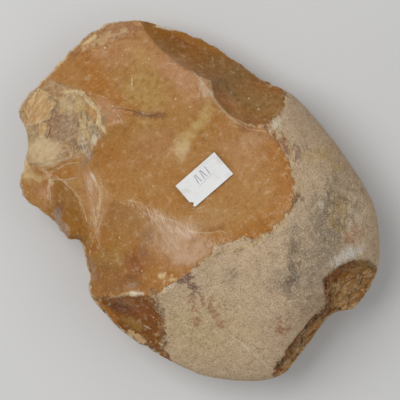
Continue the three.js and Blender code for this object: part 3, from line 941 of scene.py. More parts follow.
@dataclass
class HandAxe:
    """The knapped stone, with its sizes and depths in millimetres."""

    nodule: Nodule = field(default_factory=Nodule)
    chips: EdgeChips = field(default_factory=EdgeChips)
    butt: Break = field(default_factory=Break)
    across: int = 180
    along: int = 240
    ridge_blend: float = 0.35
    faint_ridge: Oval = Oval((15, 33), (17, 15))
    faint_blend: float = 2.6
    longest: float = 3.0
    rind_fade: tuple[float, float] = (-0.15, 0.25)
    patch_fade: tuple[float, float] = (0.0, 0.6)
    break_fade: tuple[float, float] = (-0.1, 0.4)
    flint_swell: float = 0.20
    flint_grain: float = 0.035
    rind_lump: float = 0.30
    rind_grain: float = 0.12
    pit_depth: float = 0.22
    wave_gap: float = 4.4
    fan_high: float = 0.06
    block_size: float = 2.9
    splinter_high: float = 0.45
    block_high: float = 0.65
    crack_deep: float = 0.35
    tone_blend: float = 0.25
    grain: Grain = field(default_factory=lambda: Grain(11))

    def grid(self) -> bpy.types.Mesh:
        """A closed box of even squares, which the stone's surface is drawn on."""
        sheet = bmesh.new()
        bmesh.ops.create_cube(sheet, size=2)
        for axis, cuts in ((0, self.across - 1), (1, self.along - 1), (2, 1)):
            edges = [e for e in sheet.edges if abs(e.verts[0].co[axis] - e.verts[1].co[axis]) > 1e-6]
            bmesh.ops.subdivide_edges(sheet, edges=edges, cuts=cuts, use_grid_fill=True)
        bmesh.ops.recalc_face_normals(sheet, faces=sheet.faces)
        return as_mesh(sheet, "stone")

    def place(self, box: Points) -> tuple[Values, Values, np.ndarray]:
        """Turns places on the box into places on the nodule.

        Args:
            box: places on a box from -1 to 1 each way.

        Returns:
            The angle round the plan, how far out, and whether it is on the upper face.
        """
        a, b, c = box.T
        steep = np.abs(b) > np.abs(a)
        ratio = np.where(steep, a / np.where(steep, b, 1), b / np.where(np.abs(a) > 1e-9, a, 1))
        turn = np.where(steep, math.pi / 2 - math.pi / 4 * ratio, math.pi / 4 * ratio)
        turn = turn + np.where(np.where(steep, b, a) < 0, math.pi, 0)
        last_ring = 1 - 1 / self.across
        out = np.maximum(np.abs(a), np.abs(b)) * np.where(np.abs(c) < 0.5, 1.0, last_ring)
        return turn, out, c >= 0

    def carve(self, box: Points) -> tuple[Points, dict[str, Values], np.ndarray]:
        """Cuts the scars from the nodule along rays from inside the stone.

        Args:
            box: places on the drawing box.

        Returns:
            The surface points, each hollow's distance along the rays, and the upper flags.
        """
        surface, inner = self.nodule.skin(*self.place(box))
        up = box[:, 2] >= 0
        way = surface - inner
        length = np.linalg.norm(way, axis=1)
        depths = {"nodule": length.copy()}
        for scar in UPPER_SCARS + UNDER_SCARS:
            depths[scar.name] = np.minimum(scar.entry(inner, way), self.longest) * length
        depths["butt"] = np.minimum(self.butt.entry(inner, way), self.longest) * length
        depths["chips"] = np.full(len(box), np.inf)
        for chip in self.chips.scars(self.nodule):
            bite = np.minimum(chip.entry(inner, way), self.longest) * length
            depths["chips"] = np.minimum(depths["chips"], bite)
        down = -inner[:, 2] / np.minimum(way[:, 2], -1e-6)
        depths["table"] = np.where(way[:, 2] < 0, down, self.longest) * length
        every = np.stack(list(depths.values()))
        lowest = every.min(axis=0)
        faint = smooth(self.faint_ridge.within(surface[:, :2]), 0, 0.6) * up
        blend = mix(self.ridge_blend, self.faint_blend, faint)
        cut = lowest - blend * np.log(np.exp(-(every - lowest) / blend).sum(axis=0)) * 0.5
        points = inner + way * (cut / length)[:, None]
        return points, depths, up

    def relief(self, s: Surface) -> Values:
        """The grain of each kind of surface, as a height along the surface's normal.

        Args:
            s: the carved surface.

        Returns:
            Millimetres to move each vertex out by.
        """
        p = s.points
        rind = smooth(s.inside(["nodule", "table"]), *self.rind_fade)
        patch = smooth(s.inside(["patch"]), *self.patch_fade)
        broken = smooth(s.inside(["butt"]), *self.break_fade)
        flint = 1 - np.maximum.reduce([rind, patch, broken])
        swell = self.flint_swell * self.grain.layers(p, 15, 2)
        height = flint * (swell + self.flint_grain * self.grain.layers(p + 9, 3, 2))
        height += self.ripples(s) * flint
        pits = smooth(self.grain.at(p + 50, 1.7), 0.25, 0.75)
        lumps = self.rind_lump * self.grain.layers(p + 70, 17, 2)
        lumps = lumps + self.rind_grain * self.grain.layers(p + 20, 3.4, 3)
        height += rind * (lumps - self.pit_depth * pits)
        height += patch * self.hackle(p)
        height += broken * self.laminae(p)
        plan = p[:, :2] + 0.5 * np.stack([self.grain.layers(p + k, 4, 2) for k in (0, 40)], axis=-1)
        crumbs = self.grain.layers(p + 60, 3.0, 3, 0.7)
        swells = sum(swell.height(plan, crumbs) for swell in SWELLS)
        steps = sum(step.height(plan) for step in STEPS)
        return height + (swells + steps) * s.upper

    def ripples(self, s: Surface) -> Values:
        """The waves that run out over each scar from where it was struck."""
        height = np.zeros(len(s.points))
        warp = 2.2 * self.grain.at(s.points + 5, 16)
        fade = smooth(self.grain.at(s.points + 13, 22), -0.5, 0.5)
        for scar in UPPER_SCARS + UNDER_SCARS:
            if not scar.ripple:
                continue
            own = smooth(s.inside([scar.name]), 0.0, 0.8)
            away = np.linalg.norm(s.points[:, :2] - np.array(scar.struck_from), axis=1) + warp
            spacing = self.wave_gap + 0.03 * away
            height += own * scar.ripple * fade * np.sin(2 * math.pi * away / spacing)
            run = s.points[:, :2] - np.array(scar.struck_from)
            bearing = np.arctan2(run[:, 1], run[:, 0])
            fan = np.column_stack([bearing * 38, away * 0.05, np.zeros(len(away))])
            height += own * self.fan_high * smooth(self.grain.at(fan, 1.0), 0.2, 0.8)
        return height

    def hackle(self, p: Points) -> Values:
        """The patch's broken, stepped relief."""
        smooth_dome = smooth(DOME.within(p[:, :2]), -0.1, 0.3)
        steps = self.grain.layers(p + 3, 7, 3, 0.6)
        rough = 0.35 * np.round(steps * 2.4) + 0.3 * steps + 0.16 * self.grain.layers(p, 1.8, 2)
        return rough * (1 - 0.9 * smooth_dome)

    def rubble(self, p: Points) -> tuple[Values, Values]:
        """The blocks that the butt's fracture left: a value for each, and the distance to its border."""
        warped = p + 0.8 * np.stack([self.grain.layers(p + k, 3, 2) for k in (0, 40, 80)], axis=-1)
        return self.grain.blocks(warped / np.array([1.7, 1.0, 1.0]), self.block_size)

    def laminae(self, p: Points) -> Values:
        """The butt's rough fracture: blocks with cracks between them, and splinters that run across it."""
        drift = p[:, 0] * 0.35 + p[:, 1]
        stretched = np.column_stack([p[:, 0] / 6, drift, p[:, 2]])
        ridges = 1 - 2 * np.abs(self.grain.layers(stretched, 3.4, 3, 0.6))
        block, border = self.rubble(p)
        cracks = 1 - smooth(border, 0.0, 0.7)
        broken = self.splinter_high * ridges + self.block_high * block - self.crack_deep * cracks
        return broken + 0.35 * self.grain.layers(p, 2.4, 2)

    def bare_tones(self, s: Surface) -> Values:
        """The flint's own colour at each vertex, blended narrowly from scar to scar."""
        scars = UPPER_SCARS + UNDER_SCARS
        depths = np.stack([s.depths[scar.name] for scar in scars] + [s.depths["butt"]])
        weight = np.exp(-(depths - depths.min(axis=0)) / self.tone_blend)
        weight /= weight.sum(axis=0)
        return weight.T @ np.array([scar.tone for scar in scars] + [BROWN])

    def tones(self, s: Surface, label: "PaperLabel") -> tuple[Values, Values]:
        """The colours of the flint and of the rind.

        Args:
            s: the carved surface.
            label: the label, whose glue shows round it.

        Returns:
            Both colours for each vertex.
        """
        flint = self.bare_tones(s)
        rind = np.tile(np.array(SANDY), (len(flint), 1))
        up = np.nonzero(s.upper)[0]
        p = s.points[up]
        drift = np.stack([self.grain.layers(p + k, 5, 2) for k in (0, 40)], axis=-1)
        plan = p[:, :2] + 0.8 * drift
        crumbs = [self.grain.layers(p + 17 * k, 3.6, 3, 0.75) for k in range(4)]
        specks = [self.grain.layers(p + 23 * k, 2.2, 2, 0.8) for k in range(3)]
        own = mix(np.array(BROWN), np.array(TAN), smooth(crumbs[1] + crumbs[2], -0.5, 0.6)[:, None])
        block, _ = self.rubble(p)
        own = mix(own, np.array(STRAW), 0.7 * smooth(block, 0.1, 0.7)[:, None])
        own = mix(own, np.array(RUSSET), 0.8 * smooth(-block, 0.1, 0.7)[:, None])
        inward = self.butt.within(p[:, :2]) + 0.7 * crumbs[0]
        own = mix(own, np.array(RUSSET), (1 - smooth(inward, 1.6, 3.4))[:, None])
        # Painted shade: the break's steep wall is darkened nearly black, most strongly along its narrow end.
        narrow = 1 - smooth(p[:, 0], 8, 13)
        wall_shade = smooth(inward, -0.3, 0.5) * (1 - smooth(inward, 1.5, 2.6)) * mix(0.35, 0.9, narrow)
        own = mix(own, np.array(PAINTED_WALL_SHADOW), wall_shade[:, None])
        broken = smooth(s.inside(["butt"])[up], *self.break_fade)[:, None]
        flint[up] = mix(flint[up], own, broken)
        for layers, tints in ((flint, FLINT_TINTS), (rind, RIND_TINTS)):
            laid = layers[up]
            for n, tint in enumerate(tints):
                kinds = specks if tint.ragged > 1 else crumbs
                laid = tint.lay(laid, plan, kinds[n % len(kinds)])
            layers[up] = laid
        glue = label.glue(p[:, :2] + 0.5 * drift) * smooth(crumbs[3], -1.2, 0.0)
        flint[up] = mix(flint[up], np.array(GLUE), glue[:, None])
        return flint, rind

    def build(self, label: "PaperLabel") -> bpy.types.Object:
        """Makes the stone.

        Args:
            label: the label that is glued on it.

        Returns:
            The finished piece.
        """
        mesh = self.grid()
        points, depths, up = self.carve(vectors(mesh, "co"))
        mesh.vertices.foreach_set("co", points.ravel())
        mesh.update()
        surface = Surface(points, vectors(mesh, "normal"), depths, up)
        grown = (points + surface.normals * self.relief(surface)[:, None]) * MM
        grown = np.clip(grown, *np.array(CAD_BOX))
        mesh.vertices.foreach_set("co", grown.ravel())
        mesh.update()
        self.paint(mesh, surface, label)
        mesh.shade_smooth()
        return put("knapped_stone", mesh)

    def paint(self, mesh: bpy.types.Mesh, s: Surface, label: "PaperLabel") -> None:
        """Writes what the stone's finish needs to know at each vertex.

        Args:
            mesh: the stone's mesh.
            s: its surface.
            label: the label glued on it.
        """
        up = s.upper
        plan = s.points[:, :2]
        crumb = np.full(len(plan), FAR)
        for at in CRUMBS:
            crumb = np.where(up, np.minimum(crumb, np.hypot(*(plan - np.array(at)).T)), crumb)
        clear = 3.0 * smooth(plan[:, 1], 5, 10) * up
        rubbed = [share * smooth(shape.within(plan), -0.3, 0.8) for share, shape in RUBBED]
        numbers = {
            "rind": s.inside(["nodule", "table"]) - clear,
            "patch": s.inside(["patch"]),
            "broken": s.inside(["butt"]),
            "crest": self.crest(mesh),
            "crumb": crumb,
            "dome": smooth(DOME.within(plan), -0.15, 0.15) * up,
            "seam": self.seam(s),
            "inset": self.inset(s),
            "slab": np.where(up, np.maximum(CRUST.within(plan), PILLAR.within(plan)), -FAR),
            "rubbed": up * np.max(rubbed, axis=0),
            "crack": self.rubble(s.points)[1],
        }
        # The dark lines include painted shadow lines.
        for name, lines in (("pale", PALE_LINES), ("dark", DARK_AND_SHADOW_LINES)):
            numbers[f"beside_{name}"], numbers[f"near_{name}"] = self.drawn(lines, plan, up)
        for name, values in numbers.items():
            write_values(mesh, name, values)
        flint, rind = self.tones(s, label)
        for name, rows in (("flint_tone", flint), ("rind_tone", rind)):
            attribute = mesh.attributes.new(name, "FLOAT_COLOR", "POINT")
            filled = np.column_stack([rows, np.ones(len(rows))]).astype(np.float32)
            attribute.data.foreach_set("color", filled.ravel())

    @staticmethod
    def drawn(lines: tuple[Line, ...], plan: Points, up: np.ndarray) -> tuple[Values, Values]:
        """Thin lines, whose width in a line's fields is their strength.

        Args:
            lines: the lines.
            plan: the places.
            up: which of them are on the upper face.

        Returns:
            The distance to the nearest line, with a sign for its side, and how strongly that line shows.
        """
        nearest, beside = np.full(len(plan), FAR), np.full(len(plan), FAR)
        strength = np.zeros(len(plan))
        for line in lines:
            away, past = line.away(plan)
            far = np.hypot(away, past)
            closer = up & (far < nearest)
            nearest = np.where(closer, far, nearest)
            beside = np.where(closer, away, beside)
            strength = np.where(closer, line.width * (1 - smooth(far, 0.5, 1.2)), strength)
        return beside, strength

    def seam(self, s: Surface) -> Values:
        """How far each vertex is from the ridge between two flint scars, along its ray: 0 on the ridge."""
        depths = np.sort(np.stack([s.depths[scar.name] for scar in UPPER_SCARS + UNDER_SCARS]), axis=0)
        bare = 4 * smooth(s.inside(["nodule", "table", "butt", "patch"]), -0.8, 0)
        faint = 4 * smooth(self.faint_ridge.within(s.points[:, :2]), -0.1, 0.2) * s.upper
        return np.minimum(depths[1] - depths[0] + bare + faint, FAR)

    def inset(self, s: Surface, sectors: int = 900) -> Values:
        """How far in from the worked edge each vertex lies in plan, or far from it where the rind begins."""
        away = s.points[:, :2] - np.array(self.nodule.hub)
        bearing = np.arctan2(away[:, 1], away[:, 0])
        sector = np.floor((bearing / (2 * math.pi) + 0.5) * sectors).astype(int) % sectors
        reach = np.linalg.norm(away, axis=1)
        furthest = np.zeros(sectors)
        np.maximum.at(furthest, sector, reach)
        furthest = np.maximum.reduce([np.roll(furthest, k) for k in (-1, 0, 1)])
        return furthest[sector] - reach + FAR * self.nodule.sector(bearing, 278, 74, 4)

    @staticmethod
    def crest(mesh: bpy.types.Mesh) -> Values:
        """How sharply the surface folds at each vertex: above 0 on ridges, below 0 in hollows.

        Args:
            mesh: the finished stone.

        Returns:
            The height over the mean of its neighbours, as a share of the distance to them.
        """
        count = len(mesh.vertices)
        co, normal = vectors(mesh, "co"), vectors(mesh, "normal")
        pairs = np.empty(len(mesh.edges) * 2, np.int64)
        mesh.edges.foreach_get("vertices", pairs)
        pairs = pairs.reshape(-1, 2)
        bend = np.zeros(count)
        share = np.zeros(count)
        for a, b in ((0, 1), (1, 0)):
            here, there = pairs[:, a], pairs[:, b]
            step = co[there] - co[here]
            far = np.linalg.norm(step, axis=1) + 1e-9
            bend += np.bincount(here, -(step * normal[here]).sum(1) / far, count)
            share += np.bincount(here, minlength=count)
        return bend / share


# ---- The paper label ----


@dataclass
class PaperLabel:
    """The small label glued in the hollow of the main scar."""

    at: tuple[float, float] = (7.0, 1.5)
    long: float = 17.5
    wide: float = 9.8
    turn: float = -3.0
    lift: float = 0.42
    thick: float = 0.14
    pitch: float = 0.11
    curl: float = 0.25
    curl_wide: float = 1.6

    def half(self) -> np.ndarray:
        """Half its length and half its width."""
        return np.array([self.long, self.wide]) / 2

    def frame(self, plan: Points) -> Points:
        """Turns places in plan into places on the label, from its middle."""
        way = heading(self.turn)[:2]
        away = plan - np.array(self.at)
        return np.column_stack([away @ way, away @ np.array([-way[1], way[0]])])

    def glue(self, plan: Points) -> Values:
        """How strongly the glue that crept out round the label shows."""
        own = np.abs(self.frame(plan)) - self.half()
        away = np.linalg.norm(np.maximum(own, 0), axis=1)
        at_ends = smooth(own[:, 0] - own[:, 1], -2.0, 2.0)
        return mix(0.45, 0.85, at_ends) * (1 - smooth(away, 0.4, mix(1.3, 2.4, at_ends)))

    def strokes(self, own: Points) -> Values:
        """The faded pen strokes: a short row of slanted ticks that spell nothing."""
        cover = 0.5 * smooth(Line(((-2.6, -0.5), (3.6, -0.2)), 0.36).within(own), 0, 0.6)
        for n, lean in enumerate((0.5, -0.3, 0.4, -0.5, 0.2)):
            x = -2.2 + 1.25 * n
            tick = Line(((x, 0.3), (x + lean, 3.3)), 0.5)
            ends = 1 - smooth(tick.away(own)[1], 0, 0.2)
            cover = np.maximum(cover, smooth(tick.within(own), 0, 0.6) * ends)
        return cover

    def build(self) -> bpy.types.Object:
        """Lays the label in the main scar's hollow.

        Returns:
            The finished piece.
        """
        sheet = bmesh.new()
        cells = [round(self.long / self.pitch), round(self.wide / self.pitch)]
        bmesh.ops.create_grid(sheet, x_segments=cells[0], y_segments=cells[1], size=1)
        own = np.array([v.co[:2] for v in sheet.verts]) * self.half()
        nick = self.nick(own)
        bmesh.ops.delete(sheet, geom=[v for v, gone in zip(sheet.verts, nick) if gone], context="VERTS")
        own = np.array([v.co[:2] for v in sheet.verts]) * self.half()
        way = heading(self.turn)[:2]
        plan = np.array(self.at) + own[:, :1] * way + own[:, 1:] * np.array([-way[1], way[0]])
        ground = UPPER_SCARS[0].height(plan[:, 0], plan[:, 1])
        edge_away = np.min(self.half() - np.abs(own), axis=1)
        uneven = 0.5 + Grain(3).at(np.column_stack([own, ground]), 6)
        curl = self.curl * (1 - smooth(edge_away, 0, self.curl_wide)) * uneven
        for v, xy, z in zip(sheet.verts, plan, ground + self.lift + np.maximum(curl, -0.1)):
            v.co = Vector((*xy, z)) * MM
        bmesh.ops.solidify(sheet, geom=sheet.faces[:], thickness=self.thick * MM)
        bmesh.ops.recalc_face_normals(sheet, faces=sheet.faces)
        mesh = as_mesh(sheet, "label")
        own = self.frame(vectors(mesh, "co")[:, :2] / MM)
        write_values(mesh, "pen", self.strokes(own))
        mesh.shade_smooth()
        return put("glued_label", mesh)

    def nick(self, own: Points) -> np.ndarray:
        """Which places of the label are torn away at its short edge."""
        into = own[:, 0] + self.long / 2
        return (into < 0.9 - 1.1 * np.abs(own[:, 1] + 3.4)) | (into + own[:, 1] + self.wide / 2 < 0.5)


# ---- Finishes ----


class Socket:
    """A shader socket that adds Math nodes when it is used in arithmetic."""

    def __init__(self, shop: "Shop", output: bpy.types.NodeSocket) -> None:
        """Holds the output of a node in a shop's tree."""
        self.shop = shop
        self.output = output

    def _math(self, operation: str, *values: "Socket | float") -> "Socket":
        """One Math node on these values."""
        return self.shop.node("ShaderNodeMath", {"operation": operation}, dict(enumerate(values)))

    def __add__(self, other: "Socket | float") -> "Socket":
        """self + other."""
        return self._math("ADD", self, other)

    __radd__ = __add__

    def __sub__(self, other: "Socket | float") -> "Socket":
        """self - other."""
        return self._math("SUBTRACT", self, other)

    def __rsub__(self, other: float) -> "Socket":
        """other - self."""
        return self._math("SUBTRACT", other, self)

    def __mul__(self, other: "Socket | float") -> "Socket":
        """self times other."""
        return self._math("MULTIPLY", self, other)

    __rmul__ = __mul__

    def over(self, low: float, high: float) -> "Socket":
        """0 below low, 1 above high, and an S-shaped step between."""
        inputs = {"Value": self, "From Min": low, "From Max": high}
        return self.shop.node("ShaderNodeMapRange", {"interpolation_type": "SMOOTHSTEP"}, inputs)

    def size(self) -> "Socket":
        """The value without its sign."""
        return self._math("ABSOLUTE", self)

    def largest(self, other: "Socket | float") -> "Socket":
        """The larger of the two."""
        return self._math("MAXIMUM", self, other)


class Shop:
    """A material's node tree, and the few ways in which this script adds to it."""

    def __init__(self, name: str) -> None:
        """Makes an empty material with its output and main shader."""
        self.material = bpy.data.materials.new(name)
        self.material.use_nodes = True
        self.tree = self.material.node_tree
        self.shader = next(n for n in self.tree.nodes if n.type == "BSDF_PRINCIPLED")

    def node(
        self, kind: str, settings: dict | None = None, inputs: dict | None = None, output: int | str = 0,
    ) -> Socket:
        """Adds a node.

        Args:
            kind: the node's type.
            settings: its properties.
            inputs: values or sockets for its inputs, by name or number.
            output: which of its outputs to give back.

        Returns:
            That output.
        """
        made = self.tree.nodes.new(kind)
        for key, value in (settings or {}).items():
            setattr(made, key, value)
        for key, value in (inputs or {}).items():
            self.feed(made.inputs[key], value)
        return Socket(self, made.outputs[output])

    def feed(self, target: bpy.types.NodeSocket, value: Socket | float | Colour) -> None:
        """Links a socket or sets a plain value."""
        if isinstance(value, Socket):
            self.tree.links.new(value.output, target)
        elif isinstance(value, tuple) and target.type == "RGBA":
            target.default_value = (*value, 1.0)
        else:
            target.default_value = value

    def set(self, **inputs: Socket | float | Colour) -> None:
        """Sets or links the main shader's own sockets, with _ for a space in their names."""
        for key, value in inputs.items():
            self.feed(self.shader.inputs[key.replace("_", " ")], value)

    def value(self, name: str) -> Socket:
        """A number written at each vertex."""
        return self.node("ShaderNodeAttribute", {"attribute_name": name}, output="Fac")

    def colour(self, name: str) -> Socket:
        """A colour written at each vertex."""
        return self.node("ShaderNodeAttribute", {"attribute_name": name}, output="Color")

    def place(self) -> Socket:
        """The place on the piece, in metres."""
        return self.node("ShaderNodeTexCoord", output="Object")

    def noise(
        self, size: float, detail: float = 3.0, rough: float = 0.55,
        stretch: tuple[float, float, float] = (1, 1, 1), shift: float = 0.0, turn: float = 0.0,
    ) -> Socket:
        """Noise from 0 to 1.

        Args:
            size: width of a bump in millimetres.
            detail: finer layers.
            rough: strength of the finer layers.
            stretch: how much longer the bumps are along each axis.
            shift: moves the pattern, so that two alike differ.
            turn: the bearing of the stretched first axis, degrees.

        Returns:
            The noise value.
        """
        place = self.node("ShaderNodeMapping", {"vector_type": "TEXTURE"}, {
            "Vector": self.place(), "Scale": tuple(size * MM * s for s in stretch),
            "Rotation": (0.0, 0.0, math.radians(turn)), "Location": (shift, 1.7 * shift, 0.6 * shift)})
        return self.node("ShaderNodeTexNoise", {"noise_dimensions": "3D"}, {
            "Vector": place, "Scale": 1.0, "Detail": detail, "Roughness": rough}, "Fac")

    def blend(self, a: Socket | Colour, b: Socket | Colour, share: Socket | float) -> Socket:
        """Mixes two colours by a share from 0 to 1, on the Mix node's colour sockets."""
        settings = {"data_type": "RGBA", "clamp_factor": True}
        return self.node("ShaderNodeMix", settings, {0: share, 6: a, 7: b}, 2)

    def bump(self, height: Socket, depth: float, under: Socket | None = None) -> Socket:
        """A bump of that depth in millimetres, over another bump."""
        inputs: dict = {"Height": height, "Distance": depth * MM, "Strength": 1.0}
        if under is not None:
            inputs["Normal"] = under
        return self.node("ShaderNodeBump", None, inputs, "Normal")


@dataclass(frozen=True)
class StoneFinish:
    """The fine grain of honey flint, sandy rind and brown fracture, over the colours written on the stone."""

    orange: Colour = linear(158, 98, 34)
    pinkish: Colour = linear(182, 138, 98)
    deep: Colour = linear(96, 58, 26)
    pale: Colour = linear(224, 208, 180)
    sand_dark: Colour = linear(112, 82, 60)
    sand_light: Colour = linear(222, 202, 168)
    pit: Colour = linear(84, 60, 42)
    rust: Colour = linear(116, 64, 38)
    streak_dark: Colour = linear(92, 56, 26)
    cream: Colour = linear(212, 184, 138)
    shade: Colour = linear(118, 92, 64)
    worn: Colour = linear(206, 170, 136)
    fleck: Colour = linear(224, 196, 148)
    tan: Colour = linear(192, 154, 106)
    ochre: Colour = linear(166, 118, 70)
    chalk: Colour = linear(220, 196, 172)
    edge: Colour = linear(210, 192, 160)
    crack: Colour = linear(52, 32, 18)
    dark_and_shadow_line: Colour = linear(88, 54, 34)

    def flint(self, shop: Shop) -> Socket:
        """The flint's colour with its clouds, grain and specks."""
        colour = shop.colour("flint_tone")
        cloud = shop.noise(9, 4, 0.6)
        colour = shop.blend(colour, self.orange, (1 - cloud.over(0.32, 0.56)) * 0.36)
        colour = shop.blend(colour, self.pinkish, cloud.over(0.52, 0.74) * 0.30)
        grain = shop.noise(2.3, 3, 0.65, shift=4)
        colour = shop.blend(colour, self.deep, (1 - grain.over(0.30, 0.48)) * 0.26)
        colour = shop.blend(colour, self.pale, grain.over(0.54, 0.72) * 0.20)
        veil = shop.noise(1.1, 3, 0.7, shift=55)
        colour = shop.blend(colour, self.deep, (1 - veil.over(0.34, 0.48)) * 0.10)
        colour = shop.blend(colour, self.fleck, veil.over(0.54, 0.66) * 0.09)
        fine = shop.noise(0.6, 2, 0.6, shift=9)
        colour = shop.blend(colour, self.fleck, fine.over(0.64, 0.72) * 0.38)
        return shop.blend(colour, self.deep, (1 - fine.over(0.28, 0.40)) * 0.30)

    def rind(self, shop: Shop) -> Socket:
        """The rind's colour with its sandy grains and dark pits."""
        colour = shop.colour("rind_tone")
        grain = shop.noise(0.6, 3, 0.75)
        patchy = shop.noise(3.0, 4, 0.7, shift=2)
        colour = shop.blend(colour, self.sand_dark, (1 - patchy.over(0.34, 0.52)) * 0.20)
        colour = shop.blend(colour, self.sand_light, patchy.over(0.5, 0.68) * 0.22)
        colour = shop.blend(colour, self.sand_light, grain.over(0.55, 0.63) * 0.50)
        colour = shop.blend(colour, self.sand_dark, (1 - grain.over(0.38, 0.46)) * 0.50)
        dashes = shop.noise(0.8, 2, 0.6, (2.5, 1, 1), 41, 60)
        colour = shop.blend(colour, self.pale, dashes.over(0.66, 0.70) * 0.55)
        pits = shop.noise(1.0, 2, 0.6, shift=12)
        pitted = shop.noise(9, 2, 0.5, shift=22).over(0.4, 0.6)
        return shop.blend(colour, self.pit, pits.over(0.69, 0.75) * pitted * 0.6)

    def crust(self, shop: Shop, colour: Socket) -> Socket:
        """The patch's cream ledge lines and mottling over a colour."""
        ledges = 1 - (shop.noise(3.6, 3, 0.6, shift=8) - 0.5).size().over(0.006, 0.03)
        kept = shop.noise(5, 2, 0.5, shift=13).over(0.47, 0.6)
        colour = shop.blend(colour, self.cream, ledges * kept * 0.6)
        mottle = shop.noise(1.6, 3, 0.65, shift=27)
        colour = shop.blend(colour, self.shade, (1 - mottle.over(0.36, 0.46)) * 0.35)
        return shop.blend(colour, self.cream, mottle.over(0.56, 0.62) * 0.30)

    def slab(self, shop: Shop, colour: Socket, crumbs: Socket) -> Socket:
        """The patch's raised tan crust, streaky and cream at its broken edge, over a colour."""
        inward = shop.value("slab") + (crumbs - 0.5) * 2.0
        layers = shop.noise(0.9, 4, 0.7, (4.5, 1, 1), 6, 23)
        own = shop.blend(self.tan, self.ochre, (1 - layers.over(0.38, 0.50)) * 0.55)
        own = shop.blend(own, self.fleck, layers.over(0.52, 0.60) * 0.55)
        own = shop.blend(own, self.fleck, (1 - inward.over(0.15, 0.6)) * crumbs.over(0.4, 0.56) * 0.7)
        return shop.blend(colour, own, inward.over(-0.1, 0.1))

    def fracture(self, shop: Shop, colour: Socket) -> Socket:
        """The butt's streaky, cracked fracture over a colour."""
        streaks = shop.noise(1.1, 4, 0.7, (3, 1, 1), 5, 5)
        colour = shop.blend(colour, self.streak_dark, (1 - streaks.over(0.38, 0.46)) * 0.55)
        colour = shop.blend(colour, self.fleck, streaks.over(0.56, 0.62) * 0.55)
        ochre = shop.noise(3.2, 3, 0.6, (2, 1, 1), 35, 5)
        colour = shop.blend(colour, self.orange, ochre.over(0.52, 0.60) * 0.55)
        cracks = 1 - (shop.value("crack") + (shop.noise(1.4, 3, 0.7, shift=37) - 0.5) * 1.6).over(-0.1, 0.22)
        return shop.blend(colour, self.crack, cracks * 0.45)

    def drawn(self, shop: Shop, name: str, crumbs: Socket) -> Socket:
        """How strongly the thin pale lines, or the dark lines with their painted shadow lines, cover the
        stone, broken up by crumbs.
        """
        line = 1 - (shop.value(f"beside_{name}") + (crumbs - 0.5) * 0.5).size().over(0.05, 0.30)
        return line * shop.value(f"near_{name}") * crumbs.over(0.32, 0.5)

    def build(self) -> bpy.types.Material:
        """The stone's material."""
        shop = Shop("knapped_flint")
        crumbs = shop.noise(1.1, 3, 0.75, shift=11)
        ragged = (crumbs - 0.5) * 3.0 + (shop.noise(3.2, 2, 0.5, shift=3) - 0.5) * 2.0
        inset = shop.value("rind") + ragged
        rind = inset.over(-0.08, 0.08)
        patch = (shop.value("patch") + ragged * 0.4).over(-0.1, 0.15)
        broken = (shop.value("broken") + ragged * 0.3).over(-0.1, 0.15)
        flint = self.flint(shop)
        flint = shop.blend(flint, self.crust(shop, flint), patch * (1 - shop.value("dome")))
        flint = self.slab(shop, flint, crumbs)
        streaks = shop.noise(0.5, 3, 0.7, (7, 1, 1), 51, 68).over(0.46, 0.58)
        flint = shop.blend(flint, self.chalk, streaks * shop.value("rubbed") * 0.55)
        flint = shop.blend(flint, self.fracture(shop, flint), broken)
        worn = (shop.value("crest") + (crumbs - 0.5) * 0.4).over(0.08, 0.26)
        flint = shop.blend(flint, self.pale, worn * 0.25)
        ridge = 1 - (shop.value("seam") + (crumbs - 0.5) * 0.35).over(0.03, 0.16)
        along = shop.noise(2.4, 3, 0.6, shift=31).over(0.42, 0.56)
        flint = shop.blend(flint, self.worn, ridge * along * 0.65)
        rim = 1 - (shop.value("inset") + ragged * 0.2).over(0.35, 0.85)
        flint = shop.blend(flint, self.edge, rim * shop.noise(1.8, 3, 0.7, shift=33).over(0.40, 0.56) * 0.6)
        colour = shop.blend(flint, self.rind(shop), rind)
        border = inset.over(-1.5, -0.3) * (1 - inset.over(0.1, 1.0))
        fringe = shop.noise(1.5, 4, 0.75, shift=19)
        patchy = shop.noise(6, 2, 0.5, shift=29)
        rusty = border * fringe.over(0.53, 0.62) * patchy.over(0.40, 0.55) * (1 - broken)
        colour = shop.blend(colour, self.rust, rusty * 0.65)
        colour = shop.blend(colour, self.cream, border * (1 - fringe.over(0.36, 0.46)) * (1 - broken) * 0.5)
        speck = 1 - (shop.value("crumb") + (crumbs - 0.5) * 1.6).over(0.12, 0.40)
        # Dark lines, partly painted shadow below the dome, beside the pillar and outside the crust and the
        # lip.
        colour = shop.blend(colour, self.dark_and_shadow_line, self.drawn(shop, "dark", crumbs) * 0.8)
        colour = shop.blend(colour, self.pale, speck.largest(self.drawn(shop, "pale", crumbs) * 0.8) * 0.72)
        dull = rind.largest(patch * 0.9).largest(broken * 0.9)
        rough = 0.52 + 0.4 * dull + 0.1 * (crumbs - 0.5)
        shop.set(Base_Color=colour, Roughness=rough, Specular_IOR_Level=0.2)
        coarse = shop.noise(0.9, 4, 0.75, shift=14)
        bump = shop.bump(coarse * dull, 0.40)
        shop.set(Normal=shop.bump(shop.noise(0.8, 3, 0.6, shift=17), 0.05, bump))
        return shop.material


@dataclass(frozen=True)
class PaperFinish:
    """Off-white paper, a little soiled, with faded grey pen strokes."""

    paper: Colour = linear(229, 228, 226)
    soiled: Colour = linear(196, 190, 176)
    pen: Colour = linear(112, 112, 128)

    def build(self) -> bpy.types.Material:
        """The label's material."""
        shop = Shop("label_paper")
        dirt = shop.noise(4, 4, 0.6)
        colour = shop.blend(self.paper, self.soiled, dirt.over(0.48, 0.75) * 0.5)
        faded = shop.noise(0.5, 2, 0.6, shift=3).over(0.2, 0.6)
        colour = shop.blend(colour, self.pen, shop.value("pen") * faded * 0.8)
        shop.set(Base_Color=colour, Roughness=0.85)
        shop.set(Normal=shop.bump(shop.noise(0.35, 3, 0.6, shift=8), 0.02))
        return shop.material


